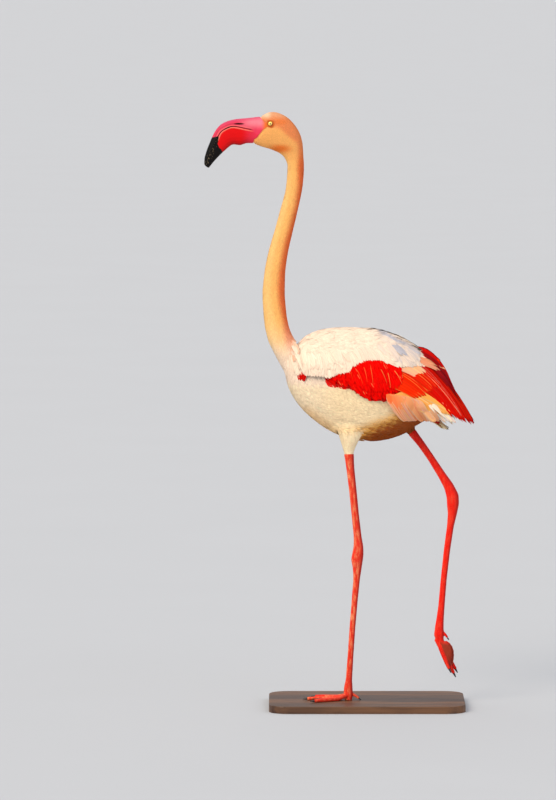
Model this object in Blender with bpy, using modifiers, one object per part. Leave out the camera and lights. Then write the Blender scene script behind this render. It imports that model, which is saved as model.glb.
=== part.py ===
"""A life-size greater flamingo, wading with one foot lifted, as a still model on a flat base.

The bird faces -X with its left side towards -Y. The origin is the middle of the base's underside.
Places are in millimetres above the soles in the tables below, and metres in Blender.
"""

import math

import bmesh
import bpy
from mathutils import Matrix, Vector

MM = 0.001
GAP = 0.3 * MM  # between neighbouring solids
CUT_GROWTH = 0.4 * MM  # how far a cutter stands outside the piece it makes room for

BASE_LENGTH, BASE_WIDTH, BASE_THICKNESS = 0.40, 0.26, 0.015
BASE_CORNER, BASE_EDGE = 0.040, 0.002
SOLE = BASE_THICKNESS + GAP  # height of the standing foot's sole

SIDES = (("left", -1), ("right", 1))

# Rows of the body from bill to rump: upper point (x, z), lower point (x, z), half width.
HEAD_ROWS = (
    (-217, 1191, -232, 1137, 12.5),
    (-201, 1200, -215, 1130, 16.5),
    (-181, 1199, -200, 1126, 19.0),
    (-159, 1187, -187, 1121, 19.5),
    (-140, 1163, -175, 1115, 18.5),
    (-132, 1138, -167, 1106, 17.0),
    (-130, 1112, -162, 1094, 16.0),
)
NECK_ROWS = (
    (-130, 1112, -162, 1094, 16.0),
    (-129, 1083, -163, 1074, 15.7),
    (-132, 1046, -166, 1041, 15.7),
    (-141, 1003, -177, 1001, 16.0),
    (-151, 960, -188, 960, 16.3),
    (-161, 917, -199, 923, 17.0),
    (-167, 874, -208, 882, 18.0),
    (-168, 829, -213, 837, 19.5),
    (-164, 784, -211, 788, 22.0),
    (-156, 752, -201, 733, 27.0),
    (-143, 729, -166, 667, 36.0),
)
UPPER_NECK, MIDDLE_NECK, LOWER_NECK = slice(0, 5), slice(4, 8), slice(7, 11)
TRUNK_ROWS = (
    (-143, 729, -166, 667, 36.0),
    (-131, 741, -164, 650, 46.0),
    (-108, 753, -151, 620, 57.0),
    (-80, 760, -127, 589, 65.0),
    (-45, 762, -83, 554, 70.0),
    (-10, 761, -31, 532, 72.0),
    (31, 753, 22, 529, 70.0),
    (71, 735, 69, 541, 61.0),
    (102, 709, 102, 560, 47.0),
    (125, 679, 126, 581, 32.0),
    (139, 650, 141, 600, 18.0),
)
TAIL_ROWS = (
    (96, 610, 104, 578, 30.0),
    (126, 596, 124, 572, 30.0),
    (146, 580, 143, 564, 29.0),
    (162, 563, 159, 553, 28.0),
    (174, 549, 172, 545, 24.0),
)

# Rows of the bill from its base to its tip: culmen (x, z), gape (x, z), keel (x, z), and the half
# widths of the upper and of the lower bill along the gape.
BILL_ROWS = (
    (-217, 1191, -224.8, 1163, -232, 1137, 12.3, 12.3),
    (-246, 1188, -247, 1167, -246, 1137, 11.6, 12.2),
    (-267, 1186, -263, 1170, -258, 1133, 11.2, 13.0),
    (-284, 1182, -277, 1170, -267, 1134, 11.0, 13.8),
    (-298, 1175, -289, 1165, -275, 1134, 11.0, 13.8),
    (-307, 1165, -298, 1159, -282, 1129, 11.0, 13.0),
    (-314, 1153, -303.5, 1149, -289, 1123, 10.8, 12.0),
    (-320, 1139, -309, 1136, -295.5, 1117, 10.0, 10.5),
    (-326, 1124, -316, 1120, -304, 1108.5, 8.8, 8.6),
    (-331, 1107, -323, 1104, -314, 1097.5, 6.8, 6.2),
    (-331.5, 1094, -327.5, 1089, -322, 1087, 3.6, 2.8),
)
NOSTRIL_CENTRE = (-261, 11.5, 1177)  # x, out from the middle, z
NOSTRIL_SIZE = (24, 4.0, 3.0)  # along the bill, in from its side, and across
EYE_CENTRE, EYE_RADIUS = (-197, 9.8, 1177), 8.0  # x, out from the middle, z

# Rows of the folded wing from shoulder to tip: x, then its upper edge, widest point and lower edge
# as (out from the middle, z), and its thickness.
WING_ROWS = (
    (-139, 44, 715, 56, 697, 58, 676, 6),
    (-126, 42, 730, 63, 700, 65, 664, 9),
    (-104, 38, 744, 70, 703, 71, 652, 12),
    (-68, 31, 756, 77, 706, 78, 638, 14),
    (-25, 27, 761, 81, 702, 81, 616, 15),
    (25, 23, 759, 81, 690, 76, 590, 15),
    (68, 17, 745, 73, 674, 66, 576, 14),
    (98, 12, 727, 62, 657, 58, 572, 12),
    (124, 10, 711, 53, 640, 51, 570, 10),
    (148, 11, 689, 47, 626, 46, 567, 9),
    (172, 13, 636, 38, 599, 39, 564, 7),
    (200, 16, 587, 28, 576, 29, 563, 5),
    (222, 17, 567, 19, 564, 20, 561, 2.5),
)
WING_EDGE_THICKNESS = 0.18  # of the thickness in the middle

# Rows of the folded primaries that stand between the wings' upper edges: x, upper z, lower z,
# out from the middle, half thickness.
PRIMARY_ROWS = (
    (98, 722, 700, 4.5, 2.2),
    (120, 713, 682, 4.8, 2.6),
    (140, 702, 662, 4.8, 2.4),
    (153, 682, 646, 4.8, 2.1),
    (167, 649, 624, 4.8, 1.7),
    (184, 614, 603, 4.4, 1.0),
)

# Rows down each leg: x, out from the middle, z, half width fore and aft, half width across.
LEFT_LEG_ROWS = (
    (-34, 38, 606, 30, 16),
    (-34, 38, 572, 29, 17),
    (-35, 37, 547, 25, 17),
    (-37, 36, 527, 16.0, 14),
    (-37.5, 35, 509, 9.6, 9.6),
    (-34, 33, 474, 8.0, 7.5),
    (-29, 31, 430, 7.6, 6.8),
    (-24, 29, 380, 7.4, 6.6),
    (-19, 27, 334, 8.0, 7.3),
    (-17.5, 26.5, 316, 9.8, 8.8),
    (-18.5, 26, 301, 11.5, 10.2),
    (-20.5, 25.5, 288, 11.9, 10.2),
    (-20, 25, 272, 9.2, 8.0),
    (-21, 24.5, 250, 6.7, 5.9),
    (-25, 23.5, 205, 6.2, 5.0),
    (-29.5, 22.5, 150, 5.9, 4.8),
    (-33.5, 22, 90, 5.9, 4.8),
    (-36.5, 21.5, 45, 6.5, 5.9),
    (-38, 21, 24, 8.6, 8.2),
    (-38, 21, 11, 9.3, 9.1),
    (-38, 21, 0, 7.5, 7.6),
)
RIGHT_LEG_ROWS = (
    (52, 38, 596, 28, 16),
    (66, 40, 577, 22, 16),
    (78, 43, 561, 15, 14),
    (91, 45, 546, 8.6, 8.6),
    (112, 46, 519, 7.2, 7.0),
    (132, 47, 490, 7.0, 6.6),
    (153, 48, 457, 8.0, 7.4),
    (168, 48.5, 433, 10.0, 9.0),
    (176.5, 49, 412, 12.6, 10.6),
    (177, 49, 395, 12.4, 10.4),
    (176, 49.5, 376, 9.4, 8.4),
    (172, 49.5, 350, 6.9, 6.2),
    (165, 50, 300, 6.5, 5.2),
    (158.5, 50.5, 240, 6.2, 4.9),
    (154, 51, 185, 6.5, 5.1),
    (151, 51, 155, 7.7, 6.4),
    (149.5, 51, 139, 9.4, 8.0),
    (149, 51, 125, 9.8, 9.0),
    (151, 51, 113, 7.6, 7.4),
)
THIGH, SHANK, ANKLE, TARSUS = "thigh", "shank", "ankle", "tarsus"
LEG_SPANS = {
    "left": {THIGH: slice(0, 5), SHANK: slice(4, 9), ANKLE: slice(8, 13), TARSUS: slice(12, 21)},
    "right": {THIGH: slice(0, 4), SHANK: slice(3, 7), ANKLE: slice(6, 11), TARSUS: slice(10, 19)},
}

# A front toe, as rows of distance from the foot's middle, height, half width and half height.
TOE_ROWS = (
    (5, 9.0, 2.3, 3.4),
    (14, 7.2, 2.9, 3.8),
    (26, 4.4, 3.8, 4.4),
    (46, 4.0, 3.9, 4.0),
    (68, 3.6, 3.7, 3.6),
    (84, 3.1, 3.0, 3.1),
)
TOE_ROOT_SPACING = 5.8
TOES = {"inner": (-1, 0.84), "middle": (0, 1.0), "outer": (1, 0.94)}  # place across, length
HIND_TOE_ROWS = (
    (4, 0.0, 2.6, 2.8),
    (12, 0.2, 2.6, 2.7),
    (19, 0.0, 2.3, 2.4),
    (24, -0.6, 1.9, 2.0),
)
CLAW_LENGTH, CLAW_TIP = 9.0, 0.8
CLAW_ROOT = 0.82  # of the toe's end
HIND_CLAW_LENGTH = 5.0
WEB_THICKNESS = 1.2
WEB_START, WEB_REACH, WEB_NOTCH = 0.14, 0.95, 0.16  # along the toes, and the bay between
WEB_SLACK = 0.15  # how far back of the web's middle it sags most

# How each foot is set: middle (x, out, z), forward direction, dorsal direction, splay of the
# side toes, how far the toes curl down by their tips, and how far the webs sag below the toes.
FEET = {
    "left": ((-38, 21, 0), (-1, 0.06, 0), (0, 0, 1), 25, 0, 0.0),
    "right": ((150, 51, 125), (0.33, 0.02, -0.94), (-0.86, 0.42, -0.28), 6, 5, 20.0),
}
# Where each hind toe leaves the tarsus, and the ways it and its upper side point.
HIND_TOES = {
    "left": ((-37, 21, 16), (0.86, 0, -0.50), (0.50, 0, 0.86)),
    "right": ((151, 51, 138), (0.66, -0.05, -0.75), (0.75, 0, 0.66)),
}

BODY_SIDES, BILL_SIDES, LEG_SIDES, TOE_SIDES = 20, 12, 12, 8
TRUNK_SQUARENESS, TAIL_SQUARENESS = 2.2, 2.6
BILL_SIDE_POWER, BILL_CROWN_POWER = 0.9, 0.85  # below 1, the bill's section is fuller than round
SHARP_ANGLE = math.radians(50)  # edges bent more than this stay sharp
WING_POINTS = 7  # across each face of the wing
WEB_STEPS, WEB_STRIPS = 6, 4  # faces along each web and across it

COLOURS = {
    "plumage": (0.90, 0.79, 0.68, 0.75),
    "neck": (0.93, 0.62, 0.42, 0.75),
    "scarlet": (0.90, 0.10, 0.05, 0.65),
    "black": (0.03, 0.02, 0.03, 0.45),
    "bill": (0.90, 0.22, 0.28, 0.40),
    "leg": (0.90, 0.20, 0.12, 0.50),
    "web": (0.42, 0.10, 0.07, 0.55),
    "claw": (0.06, 0.03, 0.03, 0.35),
    "eye": (0.95, 0.78, 0.15, 0.12),
    "base": (0.80, 0.79, 0.76, 0.60),
}


def clear_scene():
    """Empty the scene and return the collections for the bird and for the cutters."""
    for obj in list(bpy.data.objects):
        bpy.data.objects.remove(obj, do_unlink=True)
    bird = bpy.data.collections.new("greater_flamingo")
    cutters = bpy.data.collections.new("cutters")
    cutters.hide_render = True
    for collection in (bird, cutters):
        bpy.context.scene.collection.children.link(collection)
    return bird, cutters


def finish_of(kind):
    """The material of this kind, made on first use."""
    found = bpy.data.materials.get(kind)
    if found:
        return found
    red, green, blue, roughness = COLOURS[kind]
    made = bpy.data.materials.new(kind)
    made.use_nodes = True
    shader = made.node_tree.nodes["Principled BSDF"]
    shader.inputs["Base Color"].default_value = (red, green, blue, 1.0)
    shader.inputs["Roughness"].default_value = roughness
    made.diffuse_color = (red, green, blue, 1.0)
    return made


def place(x, y, z):
    """A point given in millimetres, with its height above the soles."""
    return Vector((x * MM, y * MM, z * MM + SOLE))


def smooth_rows(rows, steps):
    """Rows read from the smooth curve through the given rows, steps of them to each span."""
    finer = []
    for i in range(len(rows) - 1):
        before, start, end = rows[max(i - 1, 0)], rows[i], rows[i + 1]
        after = rows[min(i + 2, len(rows) - 1)]
        for step in range(steps):
            t = step / steps
            finer.append(tuple(
                0.5 * (2 * b + (c - a) * t + (2 * a - 5 * b + 4 * c - d) * t * t
                       + (3 * b - a - 3 * c + d) * t ** 3)
                for a, b, c, d in zip(before, start, end, after)
            ))
    finer.append(tuple(float(value) for value in rows[-1]))
    return finer


def oval(centre, up, out, sides, squareness=2.0):
    """A ring round centre: up and out are its half axes, and squareness 2 makes an ellipse."""
    ring = []
    for k in range(sides):
        angle = 2 * math.pi * k / sides
        along, across = math.cos(angle), math.sin(angle)
        along = math.copysign(abs(along) ** (2 / squareness), along)
        across = math.copysign(abs(across) ** (2 / squareness), across)
        ring.append(centre + up * along + out * across)
    return ring


def trim_ends(rings):
    """Moves the first and last rings half a gap inwards, square to their own planes."""
    for ring, towards in ((rings[0], rings[1]), (rings[-1], rings[-2])):
        centre = sum(ring, Vector()) / len(ring)
        inner = sum(towards, Vector()) / len(towards)
        quarter = len(ring) // 4
        normal = (ring[0] - centre).cross(ring[quarter] - centre).normalized()
        if normal.dot(inner - centre) < 0:
            normal.negate()
        for point in ring:
            point += normal * (GAP / 2)
    return rings


def loft(name, rings, kind, collection):
    """A closed solid through rings of the same number of points, with flat ends."""
    bm = bmesh.new()
    loops = [[bm.verts.new(point) for point in ring] for ring in rings]
    for one, other in zip(loops, loops[1:]):
        for k, vert in enumerate(one):
            after = (k + 1) % len(one)
            bm.faces.new((vert, one[after], other[after], other[k]))
    for end in (loops[0], loops[-1]):
        bm.faces.new(end)
    bmesh.ops.triangulate(bm, faces=bm.faces[:])
    bmesh.ops.recalc_face_normals(bm, faces=bm.faces[:])
    return object_from(name, bm, kind, collection)


def object_from(name, bm, kind, collection):
    """The named object of a bmesh, shaded smooth up to its corners."""
    mesh = bpy.data.meshes.new(name)
    bm.to_mesh(mesh)
    bm.free()
    mesh.shade_smooth()
    mesh.set_sharp_from_angle(angle=SHARP_ANGLE)
    obj = bpy.data.objects.new(name, mesh)
    mesh.materials.append(finish_of(kind))
    collection.objects.link(obj)
    return obj


def grown_cutter(obj, cutters):
    """A helper that stands a little outside obj all round, to cut its neighbours with."""
    bm = bmesh.new()
    bm.from_mesh(obj.data)
    bm.normal_update()
    moves = [vert.normal * CUT_GROWTH for vert in bm.verts]
    for vert, move in zip(bm.verts, moves):
        vert.co += move
    cutter = object_from("room_for_" + obj.name, bm, "base", cutters)
    cutter.hide_render = True
    cutter.display_type = "WIRE"
    return cutter


def cut(obj, cutter):
    """Takes the cutter's room out of obj with an exact Boolean."""
    modifier = obj.modifiers.new("cut_" + cutter.name, "BOOLEAN")
    modifier.operation = "DIFFERENCE"
    modifier.solver = "EXACT"
    modifier.object = cutter


def body_rings(rows, steps, squareness):
    """Rings of a length of the body, each in the plane of its two points and square to Y."""
    rings = []
    for upper_x, upper_z, lower_x, lower_z, half in smooth_rows(rows, steps):
        upper, lower = place(upper_x, 0, upper_z), place(lower_x, 0, lower_z)
        out = Vector((0, half * MM, 0))
        rings.append(oval((upper + lower) / 2, (upper - lower) / 2, out, BODY_SIDES, squareness))
    return rings


def make_body(bird, cutters):
    """Head, neck in three lengths, trunk and tail."""
    pieces = {
        "head": (HEAD_ROWS, "neck"),
        "neck_upper": (NECK_ROWS[UPPER_NECK], "neck"),
        "neck_middle": (NECK_ROWS[MIDDLE_NECK], "neck"),
        "neck_lower": (NECK_ROWS[LOWER_NECK], "neck"),
        "trunk": (TRUNK_ROWS, "plumage"),
    }
    made = {
        name: loft(name, trim_ends(body_rings(rows, 2, TRUNK_SQUARENESS)), kind, bird)
        for name, (rows, kind) in pieces.items()
    }
    made["tail"] = loft("tail", body_rings(TAIL_ROWS, 1, TAIL_SQUARENESS), "plumage", bird)
    cut(made["tail"], grown_cutter(made["trunk"], cutters))
    return made


def arch(apex, floor, half, gap):
    """A D-shaped ring: an arch up to apex over a flat floor that is half wide each way."""
    rise = apex - floor
    foot = floor + rise.normalized() * gap
    rise = apex - foot
    out = Vector((0, half * MM, 0))
    ring = []
    for k in range(BILL_SIDES + 1):
        angle = math.pi * k / BILL_SIDES
        across = math.copysign(abs(math.cos(angle)) ** BILL_SIDE_POWER, math.cos(angle))
        ring.append(foot + rise * math.sin(angle) ** BILL_CROWN_POWER + out * across)
    for share in (-0.5, 0.0, 0.5):
        ring.append(foot + out * share)
    return ring


def make_bill(bird, cutters):
    """Upper and lower bill, meeting along the gape, with a nostril slot in each side above."""
    upper, lower = [], []
    for row in smooth_rows(BILL_ROWS, 2):
        culmen, gape, keel = (place(row[i], 0, row[i + 1]) for i in (0, 2, 4))
        upper.append(arch(culmen, gape, row[6], GAP / 2))
        lower.append(arch(keel, gape, row[7], GAP / 2))
    base_move = Vector((-GAP, 0, 0))
    for ring in (upper[0], lower[0]):
        for point in ring:
            point += base_move
    bill = {
        "upper": loft("bill_upper", upper, "bill", bird),
        "lower": loft("bill_lower", lower, "bill", bird),
    }
    length, depth, height = (size * MM for size in NOSTRIL_SIZE)
    x, out, z = NOSTRIL_CENTRE
    for side, sign in SIDES:
        bm = bmesh.new()
        bmesh.ops.create_uvsphere(bm, u_segments=12, v_segments=6, radius=0.5)
        bmesh.ops.scale(bm, vec=(length, 2 * depth, height), verts=bm.verts)
        bmesh.ops.translate(bm, vec=place(x, sign * out, z), verts=bm.verts)
        slot = object_from("nostril_" + side, bm, "base", cutters)
        slot.hide_render = True
        slot.display_type = "WIRE"
        cut(bill["upper"], slot)
    return bill


def make_eyes(head, bird, cutters):
    """Both eyeballs, each in a socket cut in the head."""
    x, out, z = EYE_CENTRE
    for side, sign in SIDES:
        bm = bmesh.new()
        bmesh.ops.create_uvsphere(bm, u_segments=16, v_segments=10, radius=EYE_RADIUS * MM)
        turn = Matrix.Rotation(math.pi / 2, 4, "X")
        bmesh.ops.transform(bm, matrix=Matrix.Translation(place(x, sign * out, z)) @ turn,
                            verts=bm.verts)
        eye = object_from("eye_" + side, bm, "eye", bird)
        cut(head, grown_cutter(eye, cutters))


def wing_ring(row, sign):
    """A ring across the folded wing at one x: its outer face, then its inner face back."""
    x, top_y, top_z, mid_y, mid_z, low_y, low_z, thickness = row
    top, mid, low = Vector((top_y, top_z)), Vector((mid_y, mid_z)), Vector((low_y, low_z))
    pull = mid * 2 - (top + low) / 2
    outer, inner = [], []
    for k in range(WING_POINTS + 1):
        t = k / WING_POINTS
        point = top * (1 - t) ** 2 + pull * 2 * t * (1 - t) + low * t * t
        slope = (pull - top) * (1 - t) + (low - pull) * t
        inward = Vector((slope.y, -slope.x)).normalized()
        share = WING_EDGE_THICKNESS + (1 - WING_EDGE_THICKNESS) * math.sin(math.pi * t)
        outer.append(point)
        inner.append(point + inward * thickness * share)
    return [place(x, sign * y, z) for y, z in outer + inner[::-1]]


def make_wings(trunk, bird, cutters):
    """The folded wings, let into the sides of the trunk, and the primaries between them."""
    for side, sign in SIDES:
        rings = [wing_ring(row, sign) for row in WING_ROWS]
        wing = loft("wing_" + side, rings, "scarlet", bird)
        cut(trunk, grown_cutter(wing, cutters))
        blades = []
        for x, top, low, out, half in PRIMARY_ROWS:
            centre = place(x, sign * out, (top + low) / 2)
            blades.append(oval(centre, Vector((0, 0, (top - low) / 2 * MM)),
                               Vector((0, half * MM, 0)), TOE_SIDES))
        primaries = loft("primaries_" + side, blades, "black", bird)
        cut(trunk, grown_cutter(primaries, cutters))


def leg_rings(rows, sign):
    """Rings down a leg, square to its line in side view."""
    rings = []
    for i, (x, y, z, fore, across) in enumerate(rows):
        ahead, behind = rows[min(i + 1, len(rows) - 1)], rows[max(i - 1, 0)]
        run = Vector((ahead[0] - behind[0], 0, ahead[2] - behind[2])).normalized()
        fore_way = Vector((run.z, 0, -run.x))
        rings.append(oval(place(x, sign * y, z), fore_way * fore * MM,
                          Vector((0, across * MM, 0)), LEG_SIDES))
    return rings


def make_leg(side, sign, rows, rooms, bird):
    """Thigh, shank, ankle and tarsus of one leg, parted square to the leg."""
    rings = leg_rings(rows, sign)
    made = {}
    for part, span in LEG_SPANS[side].items():
        section = [[point.copy() for point in ring] for ring in rings[span]]
        kind = "plumage" if part == THIGH else "leg"
        made[part] = loft(f"{part}_{side}", trim_ends(section), kind, bird)
    for room in rooms:
        cut(made[THIGH], room)
    return made


def foot_frame(setting, sign):
    """The place, forward, outward and dorsal directions of a foot or of a hind toe."""
    (x, out, z), forward, dorsal, *_ = setting
    ahead = Vector((forward[0], sign * forward[1], forward[2])).normalized()
    up = Vector((dorsal[0], sign * dorsal[1], dorsal[2]))
    up = (up - ahead * up.dot(ahead)).normalized()
    outward = Vector((0, sign, 0))
    outward = (outward - ahead * outward.dot(ahead) - up * outward.dot(up)).normalized()
    return place(x, sign * out, z), ahead, outward, up


def toe_line(frame, rows, across, splay, curl, scale):
    """Points and sizes down a toe: (centre, forward, half width, half height) for each row."""
    centre, ahead, outward, up = frame
    turn = math.radians(splay)
    way = ahead * math.cos(turn) + outward * math.sin(turn)
    reach = rows[-1][0]
    line = []
    for run, height, half, tall in rows:
        run_scaled = rows[0][0] + (run - rows[0][0]) * scale
        drop = curl * (run / reach) ** 2
        point = (centre + outward * across * MM + way * run_scaled * MM
                 + up * (height - drop) * MM)
        line.append((point, way, half, tall))
    return line


def toe_rings(line, up):
    """Rings round a toe, square to its line."""
    rings = []
    for i, (point, way, half, tall) in enumerate(line):
        run = line[min(i + 1, len(line) - 1)][0] - line[max(i - 1, 0)][0]
        across = run.cross(up).normalized()
        rise = across.cross(run).normalized()
        rings.append(oval(point, rise * tall * MM, across * half * MM, TOE_SIDES))
    return rings


def make_claw(name, line, length, bird):
    """A blunt claw that carries on from the end of a toe, bent down at its tip."""
    (before, _, _, _), (end, _, half, tall) = line[-2], line[-1]
    run = (end - before).normalized()
    root = min(half, tall) * CLAW_ROOT
    bm = bmesh.new()
    bmesh.ops.create_cone(bm, cap_ends=True, segments=TOE_SIDES, radius1=root * MM,
                          radius2=CLAW_TIP * MM, depth=length * MM)
    turn = run.to_track_quat("Z", "Y").to_matrix().to_4x4()
    middle = end + run * (length / 2 * MM + GAP)
    bmesh.ops.transform(bm, matrix=Matrix.Translation(middle) @ turn, verts=bm.verts)
    bmesh.ops.triangulate(bm, faces=bm.faces[:])
    object_from(name, bm, "claw", bird)


def make_web(name, one, other, up, sag, bird):
    """The skin between two toes: a sheet with a bay in its front edge, given its thickness."""
    bm = bmesh.new()
    grid = []
    for i in range(WEB_STEPS + 1):
        row = []
        for j in range(WEB_STRIPS + 1):
            t = j / WEB_STRIPS
            bay = math.sin(math.pi * t)
            share = WEB_START + (WEB_REACH - WEB_START - WEB_NOTCH * bay) * i / WEB_STEPS
            ends = [point_along(line, share) for line in (one, other)]
            droop = up * (-sag * bay * math.sin(math.pi * min(1, WEB_SLACK + share))) * MM
            row.append(bm.verts.new(ends[0].lerp(ends[1], t) + droop))
        grid.append(row)
    for near, far in zip(grid, grid[1:]):
        for j in range(WEB_STRIPS):
            bm.faces.new((near[j], near[j + 1], far[j + 1], far[j]))
    web = object_from(name, bm, "web", bird)
    wall = web.modifiers.new("thickness", "SOLIDIFY")
    wall.thickness = WEB_THICKNESS * MM
    wall.offset = 0
    return web


def point_along(line, share):
    """The point at this share of the way down a toe's line, measured by its rows' runs."""
    lengths = [0.0]
    for (a, *_), (b, *_) in zip(line, line[1:]):
        lengths.append(lengths[-1] + (b - a).length)
    target = share * lengths[-1]
    for i in range(len(line) - 1):
        if lengths[i + 1] >= target:
            t = (target - lengths[i]) / (lengths[i + 1] - lengths[i])
            return line[i][0].lerp(line[i + 1][0], t)
    return line[-1][0].copy()


def make_foot(side, sign, tarsus, bird, cutters):
    """Three webbed front toes and a small hind toe, each with its claw."""
    frame = foot_frame(FEET[side], sign)
    *_, splay, curl, sag = FEET[side]
    up = frame[3]
    hub_room = grown_cutter(tarsus, cutters)
    lines, rooms = {}, {}
    for name, (order, scale) in TOES.items():
        line = toe_line(frame, TOE_ROWS, order * TOE_ROOT_SPACING, order * splay, curl, scale)
        toe = loft(f"toe_{name}_{side}", toe_rings(line, up), "leg", bird)
        make_claw(f"claw_{name}_{side}", line, CLAW_LENGTH, bird)
        lines[name], rooms[name] = line, grown_cutter(toe, cutters)
        cut(toe, hub_room)
    for one, other in (("inner", "middle"), ("middle", "outer")):
        web = make_web(f"web_{one}_{side}", lines[one], lines[other], up, sag, bird)
        for name in (one, other):
            cut(web, rooms[name])
        cut(web, hub_room)
    back = foot_frame(HIND_TOES[side], sign)
    line = toe_line(back, HIND_TOE_ROWS, 0, 0, 0, 1.0)
    hind = loft(f"toe_hind_{side}", toe_rings(line, back[3]), "leg", bird)
    cut(hind, hub_room)
    make_claw(f"claw_hind_{side}", line, HIND_CLAW_LENGTH, bird)


def make_base(bird):
    """The display base: a flat plate with round corners and a softened top edge."""
    bm = bmesh.new()
    bmesh.ops.create_cube(bm, size=1)
    bmesh.ops.scale(bm, vec=(BASE_LENGTH, BASE_WIDTH, BASE_THICKNESS), verts=bm.verts)
    bmesh.ops.translate(bm, vec=(0, 0, BASE_THICKNESS / 2), verts=bm.verts)
    upright = [e for e in bm.edges if abs(e.verts[0].co.z - e.verts[1].co.z) > GAP]
    bmesh.ops.bevel(bm, geom=upright, offset=BASE_CORNER, segments=6, profile=0.5,
                    affect="EDGES", material=-1)
    rim = [e for e in bm.edges if all(v.co.z > BASE_THICKNESS - GAP for v in e.verts)]
    bmesh.ops.bevel(bm, geom=rim, offset=BASE_EDGE, segments=2, profile=0.5,
                    affect="EDGES", material=-1)
    object_from("stand_base", bm, "base", bird)


def main():
    """Builds every piece in the bird's own frame."""
    bird, cutters = clear_scene()
    body = make_body(bird, cutters)
    make_bill(bird, cutters)
    make_eyes(body["head"], bird, cutters)
    make_wings(body["trunk"], bird, cutters)
    for side, sign in SIDES:
        rows = LEFT_LEG_ROWS if side == "left" else RIGHT_LEG_ROWS
        rooms = [bpy.data.objects[f"room_for_{name}"] for name in ("trunk", f"wing_{side}")]
        leg = make_leg(side, sign, rows, rooms, bird)
        make_foot(side, sign, leg[TARSUS], bird, cutters)
    make_base(bird)


if __name__ == "__main__":
    main()
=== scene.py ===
"""The looks of a life-size greater flamingo on a flat base: skin, coat, bill, eyes, legs, light.

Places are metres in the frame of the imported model. The bird faces -X with its left side to -Y.
The tables of places are in millimetres as (x, height above the soles), and feathers are sized in
millimetres.
"""

import logging
import math
from dataclasses import dataclass, field, replace
from enum import Enum
from typing import Callable, Sequence

import bmesh
import bpy
import numpy as np
from mathutils import Matrix, Vector
from mathutils.bvhtree import BVHTree

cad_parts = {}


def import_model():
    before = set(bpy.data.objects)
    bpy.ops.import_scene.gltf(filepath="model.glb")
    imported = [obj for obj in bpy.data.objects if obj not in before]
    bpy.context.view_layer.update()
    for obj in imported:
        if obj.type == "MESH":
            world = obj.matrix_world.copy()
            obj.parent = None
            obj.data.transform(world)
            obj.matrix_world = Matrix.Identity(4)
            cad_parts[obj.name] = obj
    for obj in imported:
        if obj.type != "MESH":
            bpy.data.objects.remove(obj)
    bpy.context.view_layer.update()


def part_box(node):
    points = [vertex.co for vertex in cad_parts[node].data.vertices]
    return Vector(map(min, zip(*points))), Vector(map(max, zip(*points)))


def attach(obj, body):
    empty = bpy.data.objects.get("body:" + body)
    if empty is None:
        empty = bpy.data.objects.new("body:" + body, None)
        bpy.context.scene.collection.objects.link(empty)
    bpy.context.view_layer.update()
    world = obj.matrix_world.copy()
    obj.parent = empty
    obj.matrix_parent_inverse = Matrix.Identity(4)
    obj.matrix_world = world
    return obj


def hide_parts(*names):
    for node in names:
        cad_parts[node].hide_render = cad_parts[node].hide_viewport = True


LOG = logging.getLogger("flamingo")
MM = 0.001
SEED = 7
SIDES = {"left": -1, "right": 1}
BAKE_MAP, VANE_MAP = "OFBake", "vane"
BAKE_PATCH = 0.003  # how much of the map one feather takes
MERGE = 1e-5  # metres within which a CAD mesh's corners are one

Array = np.ndarray
Colour = tuple[float, float, float]
Spot = tuple[float, float]


def display(red: int, green: int, blue: int) -> Colour:
    """A colour given as on a display, in linear light."""
    return tuple(((value / 255 + 0.055) / 1.055) ** 2.4 for value in (red, green, blue))


def fade(value: Array, low: float, high: float) -> Array:
    """A smooth step from 0 where value is low to 1 where it is high."""
    share = np.clip((value - low) / (high - low), 0, 1)
    return share * share * (3 - 2 * share)


def blend(colour: Array, other: Colour | Array, share: Array) -> Array:
    """Colour turned towards other by each row's share."""
    return colour + (np.asarray(other) - colour) * np.asarray(share)[..., None]


def unit(vectors: Array) -> Array:
    """The vectors, each one long."""
    return vectors / np.maximum(np.linalg.norm(vectors, axis=-1, keepdims=True), 1e-12)


def along_bend(points: Sequence[Sequence[float]], share: Array) -> Array:
    """Places at these shares of the bend through a few points, read from its chords.

    Args:
        points: The points, in order.
        share: Where to read, from 0 at the first point to 1 at the last.

    Returns:
        One row of coordinates for each share.
    """
    table = np.asarray(points, float)
    steps = np.linalg.norm(np.diff(table, axis=0), axis=1)
    reach = np.concatenate([[0], np.cumsum(steps)]) / steps.sum()
    return np.stack([np.interp(share, reach, column) for column in table.T], axis=-1)


# ---------------------------------------------------------------- materials


class Wire:
    """A shader socket that takes part in an expression, where an operator adds a Math node."""

    def __init__(self, tree: "Tree", socket: bpy.types.NodeSocket) -> None:
        """Keeps the socket and the tree that it is in."""
        self.tree, self.socket = tree, socket

    def __add__(self, other: "Wire | float") -> "Wire":
        """This and other."""
        return self.tree.math("ADD", self, other)

    def __sub__(self, other: "Wire | float") -> "Wire":
        """This less other."""
        return self.tree.math("SUBTRACT", self, other)

    def __rsub__(self, other: "Wire | float") -> "Wire":
        """Other less this."""
        return self.tree.math("SUBTRACT", other, self)

    def __mul__(self, other: "Wire | float") -> "Wire":
        """This times other."""
        return self.tree.math("MULTIPLY", self, other)

    def __truediv__(self, other: "Wire | float") -> "Wire":
        """This over other."""
        return self.tree.math("DIVIDE", self, other)

    def __abs__(self) -> "Wire":
        """This without its sign."""
        return self.tree.math("ABSOLUTE", self, 0.0)

    __radd__, __rmul__ = __add__, __mul__


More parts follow.
